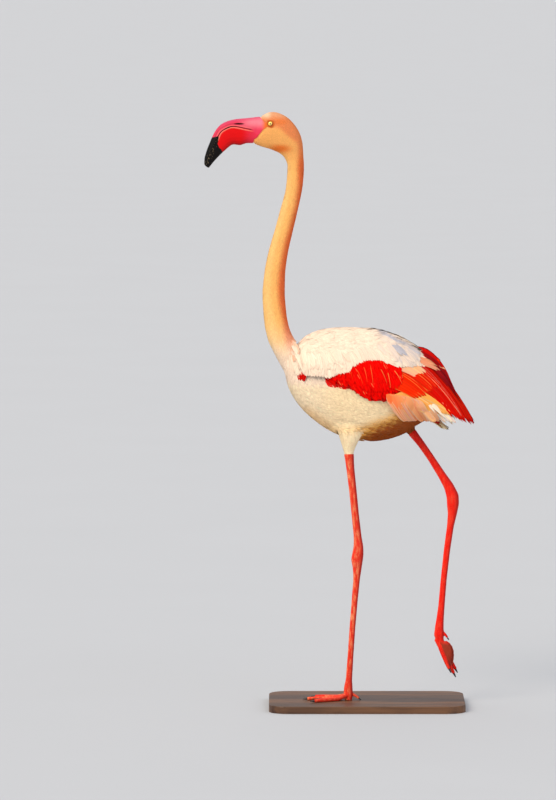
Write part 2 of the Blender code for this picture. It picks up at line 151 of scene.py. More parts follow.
class Tree:
    """The nodes of one material."""

    def __init__(self, name: str) -> None:
        """Starts a material with its own Principled shader."""
        self.material = bpy.data.materials.new(name)
        self.material.use_nodes = True
        self.nodes = self.material.node_tree.nodes
        self.links = self.material.node_tree.links
        self.shader = self.nodes["Principled BSDF"]

    def node(self, kind: str, settings: dict, inputs: dict) -> bpy.types.Node:
        """Adds a node.

        Args:
            kind: The node's type.
            settings: Its properties, set first. "stops" gives a ramp's (place, colour) pairs.
            inputs: A value or a Wire for each input, by name or by number.

        Returns:
            The node.
        """
        made = self.nodes.new(kind)
        for key, value in settings.items():
            if key == "stops":
                elements = made.color_ramp.elements
                while len(elements) < len(value):
                    elements.new(1.0)
                for element, (place, colour) in zip(elements, value):
                    element.position, element.color = place, (*colour, 1.0)
            else:
                setattr(made, key, value)
        for key, value in inputs.items():
            self.feed(made.inputs[key], value)
        return made

    def feed(self, socket: bpy.types.NodeSocket, value: "Wire | float | tuple") -> None:
        """Links a Wire to the socket, or sets the socket's own value."""
        if isinstance(value, Wire):
            self.links.new(value.socket, socket)
        elif isinstance(value, tuple) and socket.type == "RGBA":
            socket.default_value = (*value, 1.0)
        else:
            socket.default_value = value

    def math(self, operation: str, one: "Wire | float", other: "Wire | float") -> Wire:
        """One Math node."""
        made = self.node("ShaderNodeMath", {"operation": operation}, {0: one, 1: other})
        return Wire(self, made.outputs[0])

    def step(self, value: Wire, low: float, high: float) -> Wire:
        """A smooth step from 0 at low to 1 at high."""
        made = self.node(
            "ShaderNodeMapRange",
            {"interpolation_type": "SMOOTHSTEP"},
            {"Value": value, "From Min": low, "From Max": high},
        )
        return Wire(self, made.outputs[0])

    def mix(self, share: "Wire | float", one: "Wire | Colour", other: "Wire | Colour",
            way: str = "MIX") -> Wire:
        """A colour between one and other, or their blend in another way."""
        made = self.node(
            "ShaderNodeMix", {"data_type": "RGBA", "blend_type": way}, {0: share, 6: one, 7: other}
        )
        return Wire(self, made.outputs[2])

    def brighten(self, colour: "Wire | Colour", value: Wire) -> Wire:
        """The colour, lighter or darker by value."""
        made = self.node("ShaderNodeHueSaturation", {}, {"Value": value, "Color": colour})
        return Wire(self, made.outputs[0])

    def place(self) -> Wire:
        """The place in the frame."""
        return Wire(self, self.node("ShaderNodeTexCoord", {}, {}).outputs["Object"])

    def stretched(self, vector: Wire, scale: tuple) -> Wire:
        """The vector, each axis scaled."""
        made = self.node("ShaderNodeMapping", {}, {"Vector": vector, "Scale": scale})
        return Wire(self, made.outputs[0])

    def joined(self, x: "Wire | float", y: "Wire | float", z: "Wire | float") -> Wire:
        """A vector of three numbers."""
        made = self.node("ShaderNodeCombineXYZ", {}, {0: x, 1: y, 2: z})
        return Wire(self, made.outputs[0])

    def parts(self, vector: Wire) -> list[Wire]:
        """The three numbers of a vector."""
        made = self.node("ShaderNodeSeparateXYZ", {}, {0: vector})
        return [Wire(self, output) for output in made.outputs]

    def noise(self, vector: Wire, scale: float, detail: float = 2.0) -> Wire:
        """Cloudy noise from 0 to 1."""
        inputs = {"Vector": vector, "Scale": scale, "Detail": detail}
        made = self.node("ShaderNodeTexNoise", {}, inputs)
        return Wire(self, made.outputs[0])

    def cells(self, vector: Wire, scale: float) -> Wire:
        """The distance from the nearest edge between cells."""
        made = self.node(
            "ShaderNodeTexVoronoi", {"feature": "DISTANCE_TO_EDGE"}, {"Vector": vector, "Scale": scale}
        )
        return Wire(self, made.outputs[0])

    def stored(self, name: str, output: str = "Color") -> Wire:
        """An attribute of the mesh."""
        made = self.node("ShaderNodeAttribute", {"attribute_name": name}, {})
        return Wire(self, made.outputs[output])

    def finish(self, constants: dict, **patterns: Wire) -> bpy.types.Material:
        """Feeds the shader.

        Args:
            constants: Values set on the shader's own sockets.
            patterns: Wires by socket name, an underscore for a space. "height" goes through a Bump
                node, with the constants' "bump" as its distance in metres.

        Returns:
            The material.
        """
        distance = constants.get("bump", 0.0)
        for key, value in constants.items():
            if key != "bump":
                self.feed(self.shader.inputs[key], value)
        for key, wire in patterns.items():
            if key == "height":
                bump = self.node("ShaderNodeBump", {}, {"Distance": distance, "Height": wire})
                key, wire = "Normal", Wire(self, bump.outputs[0])
            self.feed(self.shader.inputs[key.replace("_", " ")], wire)
        return self.material


@dataclass(frozen=True)
class FeatherFinish:
    """Barbs, shaft and margin over the tint that each feather carries."""

    name: str
    shaft: Colour
    shaft_share: float = 0.5
    roughness: float = 0.62
    contrast: float = 0.30
    barb_scale: float = 1.6

    def dress(self) -> bpy.types.Material:
        """The material of a coat piece."""
        tree = Tree(self.name)
        vane_map = tree.node("ShaderNodeUVMap", {"uv_map": VANE_MAP}, {})
        run, out, _ = tree.parts(Wire(tree, vane_map.outputs[0]))
        across = abs(tree.stored("across", "Fac"))
        along = tree.stored("along", "Fac")
        run, out = run * 100.0, abs(out - 0.5) * 100.0
        barbs = tree.noise(tree.joined(run - out * 1.2, out * 0.10, along * 3.0), self.barb_scale, 2.0)
        clumps = tree.noise(tree.joined(run * 0.35 - out * 0.42, out * 0.05, 0.0), 0.9, 1.0)
        margin = tree.step(across + along * 0.25, 0.70, 1.05)
        colour = tree.mix(margin, tree.stored("tint"), tree.stored("edge"))
        shaft = (1 - tree.step(out, 0.12, 0.5)) * (1 - along * 0.8) * self.shaft_share
        colour = tree.mix(shaft, colour, self.shaft)
        light = 1 - self.contrast * 0.5 + barbs * self.contrast * 0.6 + clumps * self.contrast * 0.4
        return tree.finish(
            {"Roughness": self.roughness, "Specular IOR Level": 0.0, "bump": 0.0004},
            Base_Color=tree.brighten(colour, light),
            height=barbs * 0.6 + clumps * 0.5 + shaft * 0.5,
        )


@dataclass(frozen=True)
class SkinFinish:
    """Bare skin: fine wrinkles, and on the legs small scales with dark grooves and pale flecks, partly
    painted highlights where the legs face the light.
    """

    name: str = "bare_skin"
    groove: Colour = display(150, 30, 22)
    fleck_highlight: Colour = display(253, 165, 112)

    def dress(self) -> bpy.types.Material:
        """The material of the skin."""
        tree = Tree(self.name)
        place, scaly = tree.place(), tree.stored("scaly", "Fac")
        cells = tree.cells(tree.stretched(place, (1.0, 1.0, 0.7)), 620.0)
        bands = abs(tree.math("PINGPONG", tree.stored("run", "Fac"), 0.5))
        front = tree.stored("front", "Fac")
        small = 1 - tree.step(cells, 0.0, 0.12)
        large = 1 - tree.step(bands, 0.0, 0.09)
        grooves = (small * (1 - front) + large * front) * scaly
        patches = tree.noise(tree.stretched(place, (1.0, 1.0, 0.3)), 200.0, 4.0)
        # Partly painted highlight: pale flecks gather where the legs face the light.
        lit_flecks = tree.step(patches, 0.40, 0.72) * scaly * tree.stored("lit", "Fac")
        colour = tree.mix(lit_flecks * 0.75, tree.stored("tint"), self.fleck_highlight)
        colour = tree.mix(grooves * 0.45, colour, self.groove)
        wrinkles = tree.noise(place, 900.0, 3.0)
        colour = tree.brighten(colour, 0.90 + wrinkles * 0.14 + patches * 0.08)
        return tree.finish(
            {"Specular IOR Level": 0.14, "bump": 0.0003},
            Base_Color=colour,
            Roughness=0.50 - scaly * 0.10 + wrinkles * 0.1,
            height=wrinkles * 0.35 - grooves,
        )


@dataclass(frozen=True)
class HornFinish:
    """Smooth horn with fine growth lines, tinted by the mesh's own markings, with painted highlights in
    dashes on the black tip.
    """

    name: str
    roughness: float = 0.36
    coat: float = 0.03
    black: Colour = display(7, 5, 5)
    # Painted highlight colour for the glints on the black tip.
    painted_glint: Colour = display(205, 180, 140)

    def dress(self) -> bpy.types.Material:
        """The material of the bill."""
        tree = Tree(self.name)
        place = tree.place()
        lines = tree.noise(tree.stretched(place, (1.0, 1.0, 5.0)), 160.0, 3.0)
        pores = tree.noise(place, 1100.0, 2.0)
        black = tree.step(tree.stored("black", "Fac"), -0.3, 0.3)
        gap = tree.stored("gap", "Fac")
        # Painted highlight: pale dashes along two lines on the black tip stand in for glints of light.
        glint_dashes = tree.noise(tree.stretched(place, (1.0, 0.3, 0.5)), 420.0, 4.0)
        edges = [1 - tree.step(abs(gap - middle), 0.2, 0.9) for middle in (1.7, 5.0)]
        glint = tree.step(glint_dashes, 0.52, 0.72) * (edges[0] + edges[1] * 0.35) * black
        colour = tree.brighten(tree.stored("tint"), 0.86 + lines * 0.22 + pores * 0.06)
        colour = tree.mix(black, colour, self.black)
        colour = tree.mix(glint * 0.6, colour, self.painted_glint)
        return tree.finish(
            {"Specular IOR Level": 0.14, "Coat Weight": self.coat, "Coat Roughness": 0.2,
             "bump": 0.00012},
            Base_Color=colour,
            Roughness=self.roughness + lines * 0.12 + pores * 0.08,
            height=lines * (0.7 - black * 0.5) + pores * 0.5,
        )


@dataclass(frozen=True)
class EyeFinish:
    """A pale yellow iris round a small pupil, by the distance in millimetres from its middle."""

    name: str = "clear_eye"
    pupil: float = 1.45
    iris: float = 4.9
    inner: Colour = display(255, 226, 110)
    outer: Colour = display(248, 190, 50)

    def dress(self) -> bpy.types.Material:
        """The material of the eyeballs."""
        tree = Tree(self.name)
        ring, turn = tree.stored("ring", "Fac"), tree.stored("turn", "Fac")
        rays = tree.noise(tree.joined(turn * 22.0, ring * 0.35, 0.0), 1.0, 3.0)
        iris = tree.mix(tree.step(ring, self.pupil, self.iris), self.inner, self.outer)
        iris = tree.brighten(iris, 0.82 + rays * 0.32)
        rim = tree.step(ring, self.iris - 0.25, self.iris + 0.15)
        hole = 1 - tree.step(ring + rays * 0.12, self.pupil - 0.05, self.pupil + 0.15)
        colour = tree.mix(rim, iris, display(46, 20, 10))
        colour = tree.mix(hole, colour, display(8, 6, 6))
        return tree.finish(
            {"Roughness": 0.12, "Coat Weight": 1.0, "Coat Roughness": 0.02, "Coat IOR": 1.38,
             "bump": 0.0001},
            Base_Color=colour,
            height=rays * (1 - rim),
        )


@dataclass(frozen=True)
class ClawFinish:
    """Blunt black horn, with paler patches of wear and fine lines that vary its roughness."""

    name: str = "black_claws"

    def dress(self) -> bpy.types.Material:
        """The material of the claws."""
        tree = Tree(self.name)
        place = tree.place()
        lines = tree.noise(tree.stretched(place, (2.0, 1.0, 3.0)), 420.0, 3.0)
        wear = tree.noise(place, 210.0, 3.0)
        colour = tree.mix(tree.step(wear, 0.45, 0.75), display(26, 18, 18), display(74, 52, 46))
        return tree.finish(
            {"Coat Weight": 0.2, "Coat Roughness": 0.3, "bump": 0.0002},
            Base_Color=tree.brighten(colour, 0.8 + lines * 0.4),
            Roughness=0.32 + lines * 0.25,
            height=lines,
        )


@dataclass(frozen=True)
class WoodFinish:
    """Stained wood with its grain along the base, under satin varnish."""

    name: str = "base_wood"
    light: Colour = display(112, 76, 50)
    dark: Colour = display(58, 36, 24)

    def dress(self) -> bpy.types.Material:
        """The material of the base."""
        tree = Tree(self.name)
        place = tree.place()
        warp = tree.noise(tree.stretched(place, (1.2, 5.0, 5.0)), 2.2, 3.0)
        x, y, z = tree.parts(place)
        rings = tree.noise(tree.joined(x * 0.9, y * 30.0 + warp * 5.0, z * 30.0), 1.0, 4.0)
        pores = tree.noise(tree.stretched(place, (22.0, 900.0, 900.0)), 1.0, 2.0)
        colour = tree.mix(tree.step(rings, 0.32, 0.68), self.dark, self.light)
        colour = tree.mix(tree.step(pores, 0.60, 0.74) * 0.6, colour, display(34, 20, 14))
        return tree.finish(
            {"Coat Weight": 0.12, "Coat Roughness": 0.35, "Specular IOR Level": 0.3, "bump": 0.0003},
            Base_Color=colour,
            Roughness=0.46 + rings * 0.14,
            height=rings * 0.25 - tree.step(pores, 0.60, 0.74),
        )


@dataclass(frozen=True)
class FloorFinish:
    """A pale matt floor."""

    name: str = "studio_floor"
    colour: Colour = display(190, 192, 197)

    def dress(self) -> bpy.types.Material:
        """The material of the floor."""
        tree = Tree(self.name)
        grain = tree.noise(tree.place(), 2.0, 2.0)
        shade = tree.brighten(self.colour, 0.985 + grain * 0.03)
        return tree.finish({"Roughness": 0.9}, Base_Color=shade)


# ---------------------------------------------------------------- meshes


def copy_of(nodes: Sequence[str], grow: float) -> bmesh.types.BMesh:
    """The named solids in one bmesh, merged, each grown by this many metres all round."""
    whole = bmesh.new()
    for name in nodes:
        piece = bmesh.new()
        piece.from_mesh(bpy.data.objects[name].data)
        bmesh.ops.remove_doubles(piece, verts=piece.verts, dist=MERGE)
        bmesh.ops.recalc_face_normals(piece, faces=piece.faces)
        piece.normal_update()
        moves = [vert.normal * grow for vert in piece.verts]
        for vert, move in zip(piece.verts, moves):
            vert.co += move
        joined(whole, piece)
    return whole


def joined(shape: bmesh.types.BMesh, *others: bmesh.types.BMesh) -> bmesh.types.BMesh:
    """The shape with the others added, which are freed."""
    for other in others:
        mesh = bpy.data.meshes.new("scratch")
        other.to_mesh(mesh)
        other.free()
        shape.from_mesh(mesh)
        bpy.data.meshes.remove(mesh)
    return shape


def cut_off(shape: bmesh.types.BMesh, x: float, keep: int) -> bmesh.types.BMesh:
    """The shape cut at x and closed, with what lies before it kept for -1 and behind it for 1."""
    geometry = shape.verts[:] + shape.edges[:] + shape.faces[:]
    bmesh.ops.bisect_plane(shape, geom=geometry, plane_co=(x, 0, 0), plane_no=(-keep, 0, 0),
                           clear_outer=True)
    bmesh.ops.holes_fill(shape, edges=[edge for edge in shape.edges if edge.is_boundary], sides=0)
    bmesh.ops.recalc_face_normals(shape, faces=shape.faces)
    return shape


def thinned(obj: bpy.types.Object, share: float) -> bpy.types.Object:
    """The object with about this share of its faces."""
    fewer = obj.modifiers.new("fewer", "DECIMATE")
    fewer.ratio = share
    return settled(obj)


def object_of(name: str, shape: bmesh.types.BMesh | bpy.types.Mesh) -> bpy.types.Object:
    """A new object in the scene, with this shape."""
    mesh = shape
    if isinstance(shape, bmesh.types.BMesh):
        mesh = bpy.data.meshes.new(name)
        shape.to_mesh(mesh)
        shape.free()
    obj = bpy.data.objects.new(name, mesh)
    bpy.context.scene.collection.objects.link(obj)
    return obj


def settled(obj: bpy.types.Object) -> bpy.types.Object:
    """The object with its modifiers applied."""
    graph = bpy.context.evaluated_depsgraph_get()
    mesh = bpy.data.meshes.new_from_object(obj.evaluated_get(graph))
    old = obj.data
    obj.modifiers.clear()
    obj.data = mesh
    bpy.data.meshes.remove(old)
    return obj


def remeshed(name: str, shape: bmesh.types.BMesh, voxel: float, rounds: int) -> bpy.types.Object:
    """The shape as one even skin of small faces.

    Args:
        name: The object's name.
        shape: Closed shapes, which may overlap.
        voxel: The size of a face in metres.
        rounds: How many times the skin is smoothed.

    Returns:
        The object.
    """
    obj = object_of(name, shape)
    remesh = obj.modifiers.new("remesh", "REMESH")
    remesh.mode, remesh.voxel_size = "VOXEL", voxel
    smooth = obj.modifiers.new("smooth", "SMOOTH")
    smooth.factor, smooth.iterations = 0.5, rounds
    return settled(obj)


def rows_of(items: bpy.types.bpy_prop_collection, key: str) -> Array:
    """Three numbers of each item, a row for each."""
    flat = np.empty(len(items) * 3, np.float32)
    items.foreach_get(key, flat)
    return flat.reshape(-1, 3).astype(float)


def points_of(mesh: bpy.types.Mesh) -> Array:
    """The places of a mesh's vertices."""
    return rows_of(mesh.vertices, "co")


def normals_of(mesh: bpy.types.Mesh) -> Array:
    """The normals of a mesh's vertices."""
    return rows_of(mesh.vertex_normals, "vector")


def set_points(mesh: bpy.types.Mesh, points: Array) -> None:
    """Moves the mesh's vertices to these places."""
    mesh.vertices.foreach_set("co", points.astype(np.float32).ravel())
    mesh.update()


def evened(mesh: bpy.types.Mesh, values: Array, rounds: int, share: Array | float = 0.5) -> Array:
    """The values of a mesh's vertices, drawn towards the mean of their neighbours.

    Args:
        mesh: The mesh.
        values: A number or a row for each vertex.
        rounds: How many times.
        share: How far each time, for all or for each vertex.

    Returns:
        The new values.
    """
    pairs = np.empty(len(mesh.edges) * 2, np.int32)
    mesh.edges.foreach_get("vertices", pairs)
    first, second = pairs.reshape(-1, 2).T
    here, there = np.concatenate([first, second]), np.concatenate([second, first])
    count = np.bincount(here, minlength=len(values)).clip(1)
    out = values.astype(float).reshape(len(values), -1)
    for _ in range(rounds):
        for column in out.T:
            mean = np.bincount(here, weights=column[there], minlength=len(column)) / count
            column += (mean - column) * share
    return out.reshape(values.shape)


def store(mesh: bpy.types.Mesh, name: str, values: Array) -> None:
    """Stores a number or a colour for each vertex."""
    if values.ndim == 2:
        kind, key = "FLOAT_COLOR", "color"
        values = np.concatenate([values, np.ones((len(values), 1))], axis=1)
    else:
        kind, key = "FLOAT", "value"
    attribute = mesh.attributes.new(name, kind, "POINT")
    attribute.data.foreach_set(key, values.astype(np.float32).ravel())


def taken(piece: bpy.types.Object, material: bpy.types.Material, slot: str,
          *nodes: str) -> bpy.types.Object:
    """Dresses a finished piece, and ties it to the frame.

    Args:
        piece: The piece.
        material: Its material.
        slot: Not used.
        nodes: The solids that it stands for.

    Returns:
        The piece.
    """
    piece.data.materials.clear()
    piece.data.materials.append(material)
    piece.data.shade_smooth()
    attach(piece, "root")
    if nodes:
        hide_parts(*nodes)
    faces = sum(len(polygon.vertices) - 2 for polygon in piece.data.polygons)
    LOG.info("%s: %d triangles", piece.name, faces)
    return piece


@dataclass
class Surface:
    """A closed surface that tells its nearest point, and what shows of it from the side."""

    points: Array
    normals: Array
    triangles: Array
    tree: BVHTree

    TRIES = 6  # random places for each cell, of which one is kept
    GRID = 4096  # more cells than there are along any axis

    @classmethod
    def of(cls, mesh: bpy.types.Mesh) -> "Surface":
        """The surface of a mesh."""
        mesh.calc_loop_triangles()
        triangles = np.empty(len(mesh.loop_triangles) * 3, np.int32)
        mesh.loop_triangles.foreach_get("vertices", triangles)
        triangles = triangles.reshape(-1, 3)
        points = points_of(mesh)
        tree = BVHTree.FromPolygons(points.tolist(), triangles.tolist())
        return cls(points, normals_of(mesh), triangles, tree)

    def smooth_normal(self, index: int) -> Array:
        """The mean normal of a triangle's corners."""
        return self.normals[self.triangles[index]].mean(axis=0)

    def nearest(self, places: Array) -> tuple[Array, Array]:
        """The nearest points of the surface to these places, and the normals there."""
        found, normals = np.empty_like(places), np.empty_like(places)
        for row, place in enumerate(places):
            hit, _, index, _ = self.tree.find_nearest(place)
            found[row], normals[row] = hit, self.smooth_normal(index)
        return found, unit(normals)

    def seen_from_side(self, places: Array, side: int) -> tuple[Array, Array]:
        """The surface's points behind (x, z) places, seen from one side, and the normals there.

        Args:
            places: Rows of x and z in metres.
            side: -1 to look from the left, 1 from the right.

        Returns:
            The points and the normals. A place off the outline takes the nearest point's depth.
        """
        start, way = 0.3 * side, Vector((0, -side, 0))
        found, normals = np.empty((len(places), 3)), np.empty((len(places), 3))
        for row, (x, z) in enumerate(places):
            hit, _, index, _ = self.tree.ray_cast(Vector((x, start, z)), way)
            if hit is None:
                hit, _, index, _ = self.tree.find_nearest(Vector((x, 0.02 * side, z)))
                hit = Vector((x, max(abs(hit.y), 0.004) * side, z))
            found[row], normals[row] = hit, self.smooth_normal(index)
        return found, unit(normals)

    def scatter(self, spacing: float, rng: np.random.Generator) -> tuple[Array, Array]:
        """Even random places on the surface.

        Args:
            spacing: About how far apart they are, in metres.
            rng: The source of random numbers.

        Returns:
            The places and the normals there.
        """
        corners = self.points[self.triangles]
        cross = np.cross(corners[:, 1] - corners[:, 0], corners[:, 2] - corners[:, 0])
        area = np.linalg.norm(cross, axis=1) / 2
        count = int(area.sum() / spacing ** 2 * self.TRIES)
        chosen = rng.choice(len(area), count, p=area / area.sum())
        first, second = np.sqrt(rng.random(count)), rng.random(count)
        weights = np.stack([1 - first, first * (1 - second), first * second], axis=1)[..., None]
        places = (corners[chosen] * weights).sum(axis=1)
        normals = (self.normals[self.triangles[chosen]] * weights).sum(axis=1)
        cells = np.floor(places / spacing).astype(np.int64)
        keys = (cells[:, 0] * self.GRID + cells[:, 1]) * self.GRID + cells[:, 2]
        _, kept = np.unique(keys, return_index=True)
        return places[kept], unit(normals[kept])


# ---------------------------------------------------------------- the bird's layout


@dataclass
class Bird:
    """Where the bird's parts are, read from the frame, and the line of its head and neck."""

    sole: float = 0.0
    line: Array = field(default_factory=lambda: np.zeros((0, 3)))
    eye: dict[str, Vector] = field(default_factory=dict)
    eye_radius: float = 0.0

    def __post_init__(self) -> None:
        """Measures the frame."""
        self.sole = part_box("stand_base")[1].z
        for side in SIDES:
            low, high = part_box(f"eye_{side}")
            self.eye[side] = (low + high) / 2
            self.eye_radius = (high.z - low.z) / 2
        bill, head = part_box("bill_upper"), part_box("head")
        joint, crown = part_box("neck_upper")[1], head[1].z
        start = [(bill[1].x + 0.002, 0, (bill[1].z + head[0].z + 0.045) / 2),
                 ((head[0].x + head[1].x) / 2 - 0.002, 0, crown - 0.040),
                 (joint.x - 0.022, 0, crown - 0.068)]
        neck = [self.slices(f"neck_{part}", 2, 4) for part in ("upper", "middle", "lower")]
        trunk = self.slices("trunk", 0, 6)[::-1]
        self.line = np.array(start + neck[0][1:] + neck[1] + neck[2] + trunk[1:])

    @staticmethod
    def slices(node: str, axis: int, count: int) -> list[tuple[float, float, float]]:
        """Middles of a solid's slices square to an axis, from its high end to its low end."""
        points = np.array([vert.co for vert in bpy.data.objects[node].data.vertices])
        low, high = points[:, axis].min(), points[:, axis].max()
        middles = []
        for k in range(count):
            at = high - (high - low) * (k + 0.5) / count
            near = points[np.abs(points[:, axis] - at) < (high - low) / count]
            middle = (near.min(axis=0) + near.max(axis=0)) / 2
            middle[axis] = at
            middles.append((middle[0], 0.0, middle[2]))
        return middles

    def locate(self, points: Array) -> tuple[Array, Array, Array, Array]:
        """Places along and round the bird's line.

        Args:
            points: Places in metres.

        Returns:
            For each point its share along the line, its turn round it from 0 to 1, the line's way
            there, and how far it is before the line, towards the front of the neck, in metres.
        """
        starts, runs = self.line[:-1], np.diff(self.line, axis=0)
        lengths = np.linalg.norm(runs, axis=1)
        reach = np.concatenate([[0], np.cumsum(lengths)])
        best = np.full(len(points), np.inf)
        share, foot, way = np.zeros(len(points)), np.zeros_like(points), np.zeros_like(points)
        smooth = np.gradient(self.line, axis=0)
        for k, (start, run) in enumerate(zip(starts, runs)):
            t = np.clip(((points - start) @ run) / (lengths[k] ** 2), 0, 1)
            near = start + t[:, None] * run
            gap = np.linalg.norm(points - near, axis=1)
            closer = gap < best
            best[closer] = gap[closer]
            share[closer] = (reach[k] + t[closer] * lengths[k]) / reach[-1]
            foot[closer] = near[closer]
            way[closer] = smooth[k] + (smooth[k + 1] - smooth[k]) * t[closer, None]
        way = unit(way)
        front = np.stack([way[:, 2], np.zeros(len(way)), -way[:, 0]], axis=1)
        ahead = ((points - foot) * front).sum(axis=1)
        turn = np.arctan2(points[:, 1], ahead) / (2 * math.pi) + 0.5
        return share, turn, way, ahead

    def heights(self, points: Array) -> tuple[Array, Array, Array]:
        """x, distance out from the middle, and height above the soles, in millimetres."""
        return points[:, 0] / MM, np.abs(points[:, 1]) / MM, (points[:, 2] - self.sole) / MM

    def from_eye(self, points: Array) -> Array:
        """How far each point is from the nearer eye, seen from the side, in millimetres."""
        eye = self.eye["left"]
        ring = np.hypot(points[:, 0] - eye.x, points[:, 2] - eye.z) / MM
        return np.where(np.abs(points[:, 1]) > 6 * MM, ring, 99.0)

    def neckness(self, points: Array) -> Array:
        """1 on the head and neck, 0 on the trunk."""
        x, _, z = self.heights(points)
        return np.maximum(fade(z, 690, 745) * fade(-x, 138, 156), fade(z, 775, 800))

    def flow(self, points: Array, normals: Array) -> Array:
        """The way that the coat lies at each point, along the surface.

        Args:
            points: Places on the coat.
            normals: The surface's normals there.

        Returns:
            Unit vectors.
        """
        x, _, z = self.heights(points)
        _, _, way, _ = self.locate(points)
        low = 24 + 24 * fade(-x, 60, 160) - 32 * fade(-z, -610, -545)
        inward = fade(-normals[:, 1] * np.sign(points[:, 1]), -0.35, 0.15)
        flat = 0.8 * fade(normals[:, 2], 0.25, 0.85)
        high = (31 + 46 * fade(-x, -60, 135)) * (1 - flat) * (1 - inward)
        steep = np.radians(low + (high - low) * fade(z, 640, 680))
        trunk = np.stack([np.cos(steep), np.zeros(len(x)), -np.sin(steep)], axis=1)
        thigh = self.thighness(points)
        trunk = unit(trunk + (np.array((0.12, 0, -1.0)) - trunk) * thigh[:, None])
        neck = self.neckness(points)[:, None]
        mixed = unit(trunk * (1 - neck) + way * neck)
        return unit(mixed - normals * (mixed * normals).sum(axis=1, keepdims=True))

    def thighness(self, points: Array) -> Array:
        """1 on the feathered thighs, 0 above them."""
        x, out, z = self.heights(points)
        within = fade(11 + 0.36 * (z - 510) - np.abs(x + 37), -3, 3)
        left = fade(-z, -562, -542) * (points[:, 1] < 0) * within
        right = fade(-z, -572, -556) * (points[:, 1] > 0) * (x > 50) * (out > 26)
        return np.clip(left + right, 0, 1)


# Lower edge of the pale mantle, where it ends towards the tail, and the lower edge of the
# coloured part of the wing.
MANTLE_EDGE = ((-141, 667), (-92, 666), (-75, 663), (-61, 671), (-37, 676), (-26, 689), (5, 700),
               (31, 698), (51, 689), (65, 684), (108, 684))
MANTLE_END = 108
WING_EDGE = ((-88, 656), (-72, 651), (-35, 643), (-14, 626), (2, 619), (48, 619), (68, 604),
             (80, 574), (151, 571), (225, 553))
# The line of the mouth, from the bend of the bill back into the bare skin.
GAPE = ((-301, 1152.6), (-296, 1161), (-288, 1167), (-275, 1169.7), (-259, 1167), (-235, 1162),
        (-222, 1156))
# Front edge of the feathers on the face, from the chin up to the forehead: (x, height).
FACE_EDGE = ((-237, 1138), (-231, 1145), (-224, 1149), (-220, 1155), (-212, 1165), (-203, 1172),
             (-204, 1178), (-209, 1181), (-214, 1186), (-219, 1192), (-222, 1200))


def edge_height(edge: Sequence[Spot], x: Array) -> Array:
    """The height of an edge at these x."""
    table = np.asarray(edge, float)
    return np.interp(x, table[:, 0], table[:, 1])


